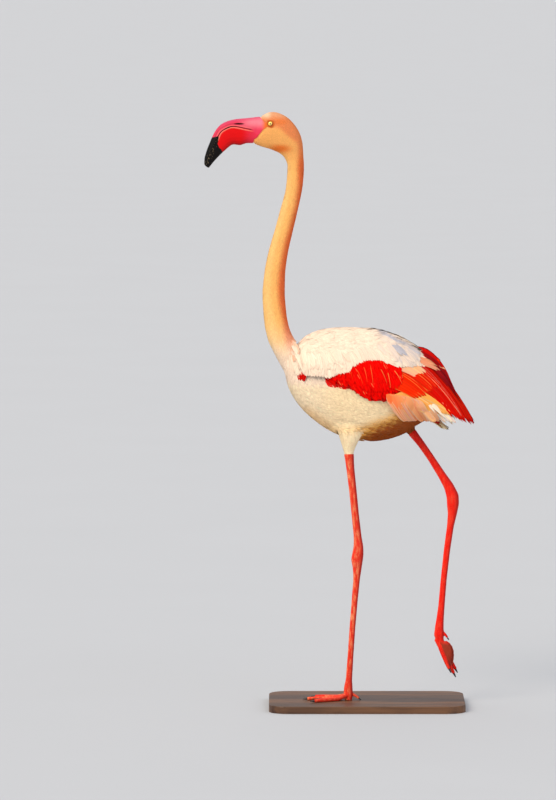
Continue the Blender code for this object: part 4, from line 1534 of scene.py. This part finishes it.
@dataclass
class Claws:
    """The blunt claws, one on each toe."""

    finish: ClawFinish = ClawFinish()

    def build(self) -> bpy.types.Object:
        """All eight claws as one piece."""
        nodes = [f"claw_{toe}_{side}" for side in SIDES for toe in ("inner", "middle", "outer", "hind")]
        shape = copy_of(nodes, 0.35 * MM)
        bmesh.ops.bevel(shape, geom=[e for e in shape.edges if e.calc_face_angle(0.0) > 1.0],
                        offset=0.4 * MM, segments=2, profile=0.5, affect="EDGES", material=-1)
        obj = object_of("claws", shape)
        smooth = obj.modifiers.new("smooth", "SUBSURF")
        smooth.levels = smooth.render_levels = 1
        return taken(settled(obj), self.finish.dress(), "claw_horn", *nodes)


# ---------------------------------------------------------------- coat


@dataclass(frozen=True)
class Row:
    """Large feathers laid side by side on the wing: where the first, middle and last are."""

    name: str
    count: int
    roots: tuple[Spot, ...]
    tips: tuple[Spot, ...]
    vane: Vane
    tint: Colour
    edge: Colour
    lift: tuple[float, float]  # millimetres off the outline at the root and at the tip
    bow: float = 0.0  # how far the middle stands above the line from root to tip
    last_tint: Colour | None = None  # the tint that the last ones turn to
    uneven: float = 1.5  # how far tips stray, in millimetres


TINY = Vane(7.0, 2.3, point=3.0, camber=0.02, thickness=0.10, ridge=0.0, steps=3, strips=2)
FINE = Vane(15, 4.2, point=2.4, camber=0.02, thickness=0.12, ridge=0.0, steps=4, strips=2)
CONTOUR = Vane(30, 7.0, point=2.6, camber=0.03, thickness=0.12, ridge=0.0, steps=4, strips=2)
MANTLE = Vane(44, 10.5, point=2.6, camber=0.02, thickness=0.12, ridge=0.0, steps=5, strips=2)
LONG = Vane(90, 15, point=3.5, neck=0.15, camber=0.05, thickness=0.45, ridge=0.18, steps=12, strips=6)
COVERT = Vane(38, 9, point=3.2, neck=0.2, camber=0.03, thickness=0.2, ridge=0.05, steps=8, strips=4)


class Zone(Enum):
    """The parts of the bird that small feathers grow on."""

    HEAD = "head"
    NECK = "neck"
    MANTLE = "mantle"
    BELLY = "belly"
    THIGH = "thigh"


@dataclass
class Coat:
    """All the feathers."""

    bird: Bird
    markings: Markings
    outline: Surface
    flank: Surface  # the same without the wings
    rng: np.random.Generator = field(default_factory=lambda: np.random.default_rng(SEED))

    pale: FeatherFinish = FeatherFinish(
        "pale_feathers", shaft=display(255, 236, 206), shaft_share=0.2, contrast=0.2)
    warm: FeatherFinish = FeatherFinish(
        "neck_feathers", shaft=display(255, 196, 120), shaft_share=0.15, contrast=0.30)
    bright: FeatherFinish = FeatherFinish(
        "wing_feathers", shaft=display(250, 110, 70), shaft_share=0.2, roughness=0.6, contrast=0.30)
    dark: FeatherFinish = FeatherFinish(
        "flight_feathers", shaft=display(60, 40, 46), roughness=0.42, contrast=0.5)

    SCARLET = display(240, 2, 2)
    SCARLET_EDGE = display(240, 16, 6)
    DEEP_RED = display(222, 14, 6)
    ORANGE = display(246, 44, 4)
    ORANGE_EDGE = display(250, 104, 44)
    GOLD = display(252, 172, 84)
    GOLD_EDGE = display(254, 204, 136)
    ORANGE_SALMON = display(255, 126, 62)
    SALMON = display(255, 186, 136)
    SALMON_EDGE = display(252, 190, 150)
    WHITE = display(250, 222, 196)
    WHITE_EDGE = display(254, 240, 224)
    TERTIAL = display(186, 12, 10)
    TERTIAL_EDGE = display(240, 40, 16)
    BLACK = display(52, 18, 30)
    BLACK_EDGE = display(140, 26, 34)
    HUMP = display(255, 60, 18)
    PINK = display(248, 150, 112)
    PINK_EDGE = display(252, 172, 140)

    ROWS = (
        Row("secondaries", 22, ((38, 634), (80, 628), (112, 618)), ((76, 572), (112, 569), (144, 572)),
            replace(LONG, width=17, point=5), ORANGE_SALMON, SALMON_EDGE, (-2.6, -1.6), 0, SALMON, 0.8),
        Row("white_secondaries", 10, ((118, 620), (128, 620)), ((158, 571), (182, 568)),
            replace(LONG, width=15, point=3.0), WHITE, WHITE_EDGE, (-4.2, -3.0)),
        Row("gold_band", 18, ((44, 626), (62, 634), (86, 640)), ((114, 595), (146, 590), (172, 590)),
            replace(LONG, width=15, point=2.8), GOLD, GOLD_EDGE, (-2.2, -0.9), 4),
        Row("shoulder", 4, ((-144, 690), (-124, 688)), ((-139, 657), (-129, 655)),
            replace(LONG, width=8, steps=8), TERTIAL, SCARLET_EDGE, (-3.4, 0.2), 0, uneven=1.0),
        Row("primary_covers", 16, ((104, 724), (108, 708)), ((168, 658), (196, 590)),
            replace(LONG, width=15, point=2.6), TERTIAL, BLACK_EDGE, (-2.4, -0.8), 9),
        Row("tertials", 19, ((91, 658), (104, 684), (108, 706)), ((168, 587), (203, 567), (221, 565)),
            replace(LONG, width=15, point=2.0), DEEP_RED, TERTIAL_EDGE, (-1.8, -0.2), 6, TERTIAL),
        Row("tertial_fringe", 6, ((92, 668), (104, 694)), ((160, 604), (196, 578)),
            replace(LONG, width=6, point=2.0), DEEP_RED, PINK_EDGE, (-1.6, 0.2), 6),
        Row("orange_plumes", 20, ((12, 660), (30, 688), (62, 696)), ((100, 622), (128, 630), (150, 644)),
            replace(LONG, width=13, point=2.2), ORANGE, ORANGE_EDGE, (-2.0, 0.0), 6, DEEP_RED),
        Row("salmon_plumes", 7, ((40, 690), (62, 698)), ((102, 664), (118, 672)),
            replace(LONG, width=12, point=2.2), SALMON, PINK_EDGE, (-1.8, 0.4), 5),
        Row("hump", 12, ((92, 698), (98, 716)), ((140, 684), (148, 694)),
            replace(LONG, width=16, point=3.2), HUMP, SCARLET_EDGE, (-2.6, -0.6), 4),
        Row("pink_feather", 3, ((92, 698), (94, 704)), ((150, 672), (158, 676)),
            replace(LONG, width=10, point=2.4), PINK, PINK_EDGE, (-1.4, 0.8), 3),
    )

    COVERT_TIPS = ((-78, 652), (-60, 649), (-35, 643), (-14, 626), (2, 618), (30, 617), (50, 620),
                   (68, 632))
    PALE_EDGE = display(252, 110, 66)
    TAIL = display(248, 214, 160)
    TAIL_EDGE = display(254, 238, 206)
    COVERT_ROWS, COVERTS = 9, 27  # rows on a wing, and feathers in each
    SCAPULAR_ROWS, SCAPULARS = 4, 70
    PRIMARIES, TAIL_FEATHERS = 5, 14

    def on_map(self, points: Array) -> Array:
        """Places on the unwrap of the body: along its line, and round it."""
        share, turn, _, _ = self.bird.locate(points)
        return np.stack([0.01 + 0.98 * share, 0.01 + 0.98 * turn], axis=1)

    def laid(self, surface: Surface, places: Array, normals: Array, vane: Vane, deep: float,
             proud: float, loose: float) -> Spines:
        """Spines that run along the lie of the coat from these places.

        Args:
            surface: The outline that they keep to.
            places: Places on the outline above the roots.
            normals: The normals there.
            vane: The feathers' shape, for its length.
            deep: How far under the outline the roots are, in millimetres.
            proud: How far above it the tips are.
            loose: How much ways and lengths differ.

        Returns:
            The spines.
        """
        count = len(places)
        way = self.bird.flow(places, normals)
        side = np.cross(way, normals)
        sway = loose * self.rng.standard_normal((count, 1)).clip(-2, 2)
        way = unit(way + side * sway)
        length = vane.length * MM * (1 + loose * self.rng.standard_normal((count, 1)).clip(-2, 2))
        half, half_normal = self.settle(surface, places + way * length * 0.5, normals, length)
        far = unit(self.bird.flow(half, half_normal) + side * sway)
        tip, tip_normal = self.settle(surface, half + far * length * 0.5, half_normal, length)
        root = places - normals * deep * MM
        high = proud + loose * 2.0 * self.rng.random((count, 1))
        tip = tip + tip_normal * high * MM
        middle = half * 2 - (places + tip) / 2 + half_normal * 0.25 * MM
        reach = unit(np.cross(far, half_normal)) * vane.width / 2 * MM
        fall = np.empty((count, 2))
        for column, margin in enumerate((half - reach, half + reach)):
            fall[:, column] = ((margin - surface.nearest(margin)[0]) * half_normal).sum(axis=1)
        return Spines(root, middle, tip, normals, tip_normal, np.clip(fall * 1.1, -0.4 * MM, 8 * MM))

    @staticmethod
    def settle(surface: Surface, places: Array, normals: Array, length: Array) -> tuple[Array, Array]:
        """The nearest points of the surface, or the places themselves past its end."""
        found, found_normals = surface.nearest(places)
        past = (np.linalg.norm(found - places, axis=1, keepdims=True) > 0.22 * length)
        past |= (found_normals * normals).sum(axis=1, keepdims=True) < 0.2
        beyond = places - normals * 0.03 * length
        return np.where(past, beyond, found), np.where(past, normals, found_normals)

    def side_row(self, row: Row, side: int) -> Spines:
        """The spines of one row on one wing."""
        count = row.count
        share = np.linspace(0, 1, count) + self.rng.uniform(-0.25, 0.25, count) / max(count - 1, 1)
        share = share.clip(0, 1)
        root2, tip2 = along_bend(row.roots, share), along_bend(row.tips, share)
        tip2 = tip2 + self.rng.normal(0, row.uneven, tip2.shape)
        middle2 = (root2 + tip2) / 2 + np.array((0.5, 1.0)) * row.bow
        spots = []
        lifts = (row.lift[0], sum(row.lift) * 0.5 + 0.6, row.lift[1])
        for places, lift in zip((root2, middle2, tip2), lifts):
            metres = np.stack([places[:, 0] * MM, places[:, 1] * MM + self.bird.sole], axis=1)
            found, normals = self.outline.seen_from_side(metres, side)
            order = np.linspace(0.0, 0.8, count)[:, None]
            spots.append((found + normals * (lift + order) * MM, normals))
        (root, normal), (half, _), (tip, tip_normal) = spots
        return Spines(root, half * 2 - (root + tip) / 2, tip, normal, tip_normal)

    def grow_small(self) -> None:
        """The feathers of head, neck, trunk and thighs."""
        kinds = (
            (Zone.HEAD, self.outline, 1.4, TINY, 1.3, 0.05, 0.08),
            (Zone.NECK, self.outline, 2.4, FINE, 2.7, 0.10, 0.10),
            (Zone.MANTLE, self.outline, 3.9, MANTLE, 5.3, 0.15, 0.07),
            (Zone.BELLY, self.flank, 3.4, CONTOUR, 5.3, 0.10, 0.09),
            (Zone.THIGH, self.flank, 2.6, FINE, 2.6, 0.10, 0.10),
        )
        for zone, surface, spacing, vane, deep, proud, loose in kinds:
            places, normals = surface.scatter(spacing * MM, self.rng)
            keep = self.bears(zone, places)
            spines = self.laid(surface, places[keep], normals[keep], vane, deep, proud, loose)
            near, _ = surface.nearest(spines.tip)
            over = (spines.root_normal * spines.tip_normal).sum(axis=1) < 0.55
            spines = spines.kept((np.linalg.norm(spines.tip - near, axis=1) < 1.2 * MM) & ~over)
            tint = self.tinted(spines)
            for name, chosen in self.groups(zone, spines).items():
                coat = Plumage(name, self.on_map, self.rng, soft=0.85)
                coat.add(spines.kept(chosen), vane, tint[chosen])
                if zone in (Zone.HEAD, Zone.NECK):
                    self.take(coat, self.warm, "plumage_peach")
                else:
                    self.take(coat, self.pale, "plumage_white")

    def bears(self, zone: Zone, places: Array) -> Array:
        """Which places are in a zone of small feathers."""
        x, _, z = self.bird.heights(places)
        neck = self.bird.neckness(places) > 0.62
        bare = self.markings.bare_face(x, z) > 0.5
        ring = self.bird.from_eye(places) < 8.9
        if zone in (Zone.HEAD, Zone.NECK):
            high = z + self.rng.normal(0, 9, len(z)) > 1092
            start = 0.12 + 0.3 * self.rng.random(len(z))
            return (self.bird.neckness(places) > start) & ~bare & ~ring & (high == (zone is Zone.HEAD))
        if zone is Zone.MANTLE:
            return ~neck & (z > edge_height(MANTLE_EDGE, x) + 8) & (x < 106) & (x > -142)
        ends = [self.bird.heights(np.array([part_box(f"thigh_{side}")[0]]))[2] for side in SIDES]
        thigh = (self.bird.thighness(places) > 0.5) & (z > np.where(places[:, 1] < 0, *ends))
        if zone is Zone.THIGH:
            return thigh
        under = (z > edge_height(WING_EDGE, x) + 34) & (x > -60)
        leg = (z < 524) | ((z < 554) & (x > 72))
        below_mantle = (z < edge_height(MANTLE_EDGE, x) + 16) | (x < -138)
        return ~neck & ~thigh & ~leg & below_mantle & ~under & (x < 132)

    def tinted(self, spines: Spines) -> Array:
        """Each feather's colour, from where most of it shows."""
        shown = spines.tip * 0.6 + spines.root * 0.4
        return self.markings.plumage(self.bird, shown)

    def groups(self, zone: Zone, spines: Spines) -> dict[str, Array]:
        """Parts a zone's feathers into pieces, without those whose tips would cover the wing."""
        _, _, z = self.bird.heights(spines.root)
        left = spines.root[:, 1] < 0
        if zone is Zone.HEAD:
            tips, middles = self.bird.from_eye(spines.tip), self.bird.from_eye(spines.middle)
            clear = (tips > 8.2) & (middles > 8.4)
            return {"head_feathers_left": left & clear, "head_feathers_right": ~left & clear}
        if zone is Zone.NECK:
            return {"neck_feathers_upper": z > 900, "neck_feathers_lower": z <= 900}
        if zone is Zone.MANTLE:
            tip_x, _, tip_z = self.bird.heights(spines.tip)
            covers = (tip_z < edge_height(MANTLE_EDGE, tip_x) - 1) | (tip_x > 124)
            return {"mantle_left": left & ~covers, "mantle_right": ~left & ~covers}
        ends = [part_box(f"thigh_{side}")[0].z - 9 * MM for side in SIDES]
        keep = spines.tip[:, 2] > np.where(left, *ends)
        if zone is Zone.THIGH:
            return {"thigh_feathers": keep}
        return {"belly_left": left & keep, "belly_right": ~left & keep}

    def grow_wings(self) -> None:
        """The large feathers of each wing, from the lowest layer up."""
        for side, sign in SIDES.items():
            coat = Plumage(f"wing_feathers_{side}", self.on_map, self.rng, soft=0.55)
            for row in self.ROWS:
                spines = self.side_row(row, sign)
                coat.add(spines, row.vane, self.varied(row.tint, len(spines), row.last_tint),
                         self.varied(row.edge, len(spines)), 0.06)
            self.take(coat, self.bright, "wing_scarlet", f"wing_{side}")
            coverts = Plumage(f"scarlet_coverts_{side}", self.on_map, self.rng, soft=0.85)
            self.scarlet_coverts(coverts, sign)
            self.take(coverts, self.bright, "wing_scarlet")
            fringe = Plumage(f"scapulars_{side}", self.on_map, self.rng, soft=0.85)
            self.scapulars(fringe, sign)
            self.take(fringe, self.pale, "plumage_white")
            flight = Plumage(f"primary_feathers_{side}", self.on_map, self.rng)
            self.primaries(flight, sign)
            self.take(flight, self.dark, "flight_black", f"primaries_{side}")

    def varied(self, colour: Colour, count: int, last: Colour | None = None) -> Array:
        """The colour for each feather, turning to the last one, and a little different each time."""
        row = np.broadcast_to(np.asarray(colour), (count, 3))
        row = blend(row, last or colour, np.linspace(0, 1, count))
        return np.clip(row * (1 + self.rng.normal(0, 0.06, (count, 3))), 0, 1)

    def scarlet_coverts(self, coat: Plumage, side: int) -> None:
        """Rows of steep scarlet coverts, with a pale margin here and there."""
        for k in range(self.COVERT_ROWS):
            tips = tuple((x + 2, z + 9 * k) for x, z in self.COVERT_TIPS)
            roots = tuple((x - 18, z + 34) for x, z in tips)
            lift = (-2.8, (-6.0, -2.5)[k] if k < 2 else 0.05 * k)
            row = Row("coverts", self.COVERTS, roots, tips, COVERT, self.SCARLET, self.SCARLET_EDGE,
                      lift, 2)
            spines = self.side_row(row, side)
            x, _, z = self.bird.heights(spines.tip)
            spines = spines.kept(z < edge_height(MANTLE_EDGE, x) + 6 * fade(-x, -60, -40))
            count = len(spines)
            edge = self.varied(self.SCARLET_EDGE, count)
            pale = self.rng.random(count) < 0.08
            edge[pale] = np.asarray(self.PALE_EDGE)
            coat.add(spines, COVERT, self.varied(self.SCARLET, count), edge, 0.08)
        streaks = Row("streaks", 7,
                      ((-40, 686), (4, 696), (50, 684)), ((-24, 656), (24, 646), (66, 646)),
                      replace(COVERT, width=2.2, point=1.6, steps=10), self.ORANGE, self.SCARLET_EDGE,
                      (-1.0, 1.0), 2, self.ORANGE_SALMON, 6.0)
        spines = self.side_row(streaks, side)
        coat.add(spines, streaks.vane, self.varied(streaks.tint, len(spines), streaks.last_tint),
                 self.varied(streaks.edge, len(spines)), 0.1)

    def scapulars(self, coat: Plumage, side: int) -> None:
        """Long drooping feathers whose tips make the mantle's lower edge."""
        vane = replace(MANTLE, width=12, point=3.4, steps=8, strips=2)
        for k in range(self.SCAPULAR_ROWS):
            tips = tuple((x - 4 * k, z + 10 * k) for x, z in MANTLE_EDGE)
            roots = tuple((x - 16 - 0.10 * (x + 141), z + 44 - 0.04 * (x + 141)) for x, z in tips)
            row = Row("scapulars", self.SCAPULARS, roots, tips, vane, self.WHITE, self.WHITE_EDGE,
                      (-3.0, 1.0 + 0.2 * k), 3, uneven=5.0 if k else 0.8)
            spines = self.side_row(row, side)
            bent = (spines.root_normal * spines.tip_normal).sum(axis=1) < 0.3
            spines = spines.kept(((spines.root_normal[:, 2] < 0.70) | (k == 0)) & ~bent)
            tint = self.markings.plumage(self.bird, spines.middle + np.array((0, 0, 0.006)))
            coat.add(spines, vane, tint, None, 0.12)
        tips = ((108, 686), (108, 700), (106, 712))
        roots = ((70, 712), (70, 728), (64, 738))
        row = Row("rear_scapulars", 7, roots, tips, vane, self.WHITE, self.WHITE_EDGE, (-2.0, 1.6), 2)
        spines = self.side_row(row, side)
        spines = spines.kept(np.abs(spines.tip[:, 1]) > 12 * MM)
        coat.add(spines, vane, self.markings.plumage(self.bird, spines.root), None, 0.1)

    def primaries(self, coat: Plumage, side: int) -> None:
        """Black primaries between the wings."""
        vane = replace(LONG, width=17, point=2.6, steps=16)
        for k in range(self.PRIMARIES):
            out = (3.2 + 1.1 * k) * MM * side
            rise, shift = 5.0 * k, 2.0 * k
            spots = ((96 + shift, 712 - rise), (152 + shift * 0.4, 690 - rise),
                     (185 - shift, 606 + rise * 0.6))
            points = [np.array([[x * MM, out, z * MM + self.bird.sole]]) for x, z in spots]
            normal = np.array([[0.0, side, 0.25]])
            spines = Spines(*points, unit(normal), unit(normal))
            coat.add(spines, vane, np.array([self.BLACK]), np.array([self.BLACK_EDGE]), 0.0)

    def tail(self) -> None:
        """Tail feathers in a low fan, pale and yellowish at their tips."""
        coat = Plumage("tail_feathers", self.on_map, self.rng)
        low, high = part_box("tail")
        count = self.TAIL_FEATHERS
        for layer in range(2):
            share = np.linspace(-1, 1, count)
            fan = np.abs(share)
            root = np.stack([np.full(count, low.x + 0.004), share * 0.020,
                             np.full(count, high.z - 0.004 - 0.012 * layer)], axis=1)
            tip = np.stack([high.x - 0.004 - 0.012 * fan - 0.006 * layer, share * 0.0245,
                            low.z + 0.006 + 0.004 * fan + 0.002 * layer], axis=1)
            tip[:, :2] += self.rng.normal(0, 0.0012, (count, 2))
            middle = (root + tip) / 2 + np.array((0.006, 0, 0.006))
            normal = unit(np.stack([np.full(count, 0.45), share * 0.5, np.full(count, 1.0)], axis=1))
            spines = Spines(root, middle, tip, normal, normal)
            coat.add(spines, replace(LONG, width=9, point=2.6), self.varied(self.TAIL, count),
                     self.varied(self.TAIL_EDGE, count), 0.1)
        self.take(coat, self.pale, "plumage_white", "tail")

    def take(self, coat: Plumage, finish: FeatherFinish, slot: str, *nodes: str) -> None:
        """Builds a coat piece and ties it to the frame."""
        material = bpy.data.materials.get(finish.name) or finish.dress()
        taken(coat.build(), material, slot, *nodes)

    def build(self) -> None:
        """Every coat piece."""
        self.grow_small()
        self.grow_wings()
        self.tail()


# ---------------------------------------------------------------- the studio


@dataclass
class Studio:
    """A pale floor, soft light from the left, and a level camera far off."""

    bird: Bird
    floor_reach: float = 150.0
    view_height: float = 1.632
    distance: float = 13.0
    elevation: float = math.radians(4.5)
    look_at: tuple[float, float, float] = (-0.1816, 0.0, 0.6135)
    sensor: float = 36.0
    sky: Colour = (0.93, 0.96, 1.0)
    sky_strength: float = 0.60

    def floor(self) -> None:
        """The floor."""
        shape = bmesh.new()
        bmesh.ops.create_grid(shape, x_segments=1, y_segments=1, size=self.floor_reach)
        obj = object_of("floor", shape)
        obj.data.materials.append(FloorFinish().dress())

    def lamp(self, name: str, energy: float, colour: Colour, turn: float, height: float,
             soft: float) -> None:
        """A distant lamp.

        Args:
            name: Its name.
            energy: Its strength.
            colour: Its colour.
            turn: Where it stands, in degrees from the camera's side, towards the bird's bill.
            height: How high, in degrees.
            soft: The width of its disc, in degrees.
        """
        data = bpy.data.lights.new(name, "SUN")
        data.energy, data.color, data.angle = energy, colour, math.radians(soft)
        obj = bpy.data.objects.new(name, data)
        azimuth, rise = math.radians(turn), math.radians(height)
        level = math.cos(rise)
        stand = Vector((-math.sin(azimuth) * level, -math.cos(azimuth) * level, math.sin(rise)))
        obj.rotation_euler = stand.to_track_quat("Z", "Y").to_euler()
        bpy.context.scene.collection.objects.link(obj)

    def camera(self) -> None:
        """The camera."""
        data = bpy.data.cameras.new("camera")
        data.lens = self.sensor * self.distance / self.view_height
        data.sensor_width = self.sensor
        data.clip_end = 2 * self.floor_reach
        obj = bpy.data.objects.new("camera", data)
        back = Vector((0, -math.cos(self.elevation), math.sin(self.elevation)))
        target = Vector(self.look_at) + Vector((0, 0, self.bird.sole))
        obj.location = target + back * self.distance
        obj.rotation_euler = back.to_track_quat("Z", "Y").to_euler()
        bpy.context.scene.collection.objects.link(obj)
        bpy.context.scene.camera = obj

    def build(self) -> None:
        """Floor, lamps, sky and camera."""
        self.floor()
        self.lamp("key", 2.3, (1.0, 0.90, 0.76), turn=38, height=34, soft=34)
        self.lamp("fill", 0.7, (0.86, 0.93, 1.0), turn=-50, height=30, soft=60)
        self.lamp("top", 0.6, (1.0, 0.95, 0.88), turn=160, height=60, soft=50)
        world = bpy.data.worlds.new("studio")
        world.use_nodes = True
        sky = world.node_tree.nodes["Background"]
        sky.inputs["Color"].default_value = (*self.sky, 1.0)
        sky.inputs["Strength"].default_value = self.sky_strength
        bpy.context.scene.world = world
        bpy.context.scene.view_settings.view_transform = "Standard"
        self.camera()


def main() -> None:
    """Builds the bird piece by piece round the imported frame."""
    logging.basicConfig(level=logging.INFO, format="%(name)s %(relativeCreated)d ms: %(message)s")
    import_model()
    bird, markings = Bird(), Markings()
    skin = Skin(bird, markings)
    outline, flank = skin.outline(True), skin.outline(False)
    LOG.info("outline: %d points", len(outline.points))
    skin.build()
    Bill(bird, markings).build()
    Eyes(bird).build()
    Claws().build()
    Coat(bird, markings, outline, flank).build()
    base = bpy.data.objects["stand_base"]
    base.data.materials.clear()
    base.data.materials.append(WoodFinish().dress())
    Studio(bird).build()


if __name__ == "__main__":
    main()
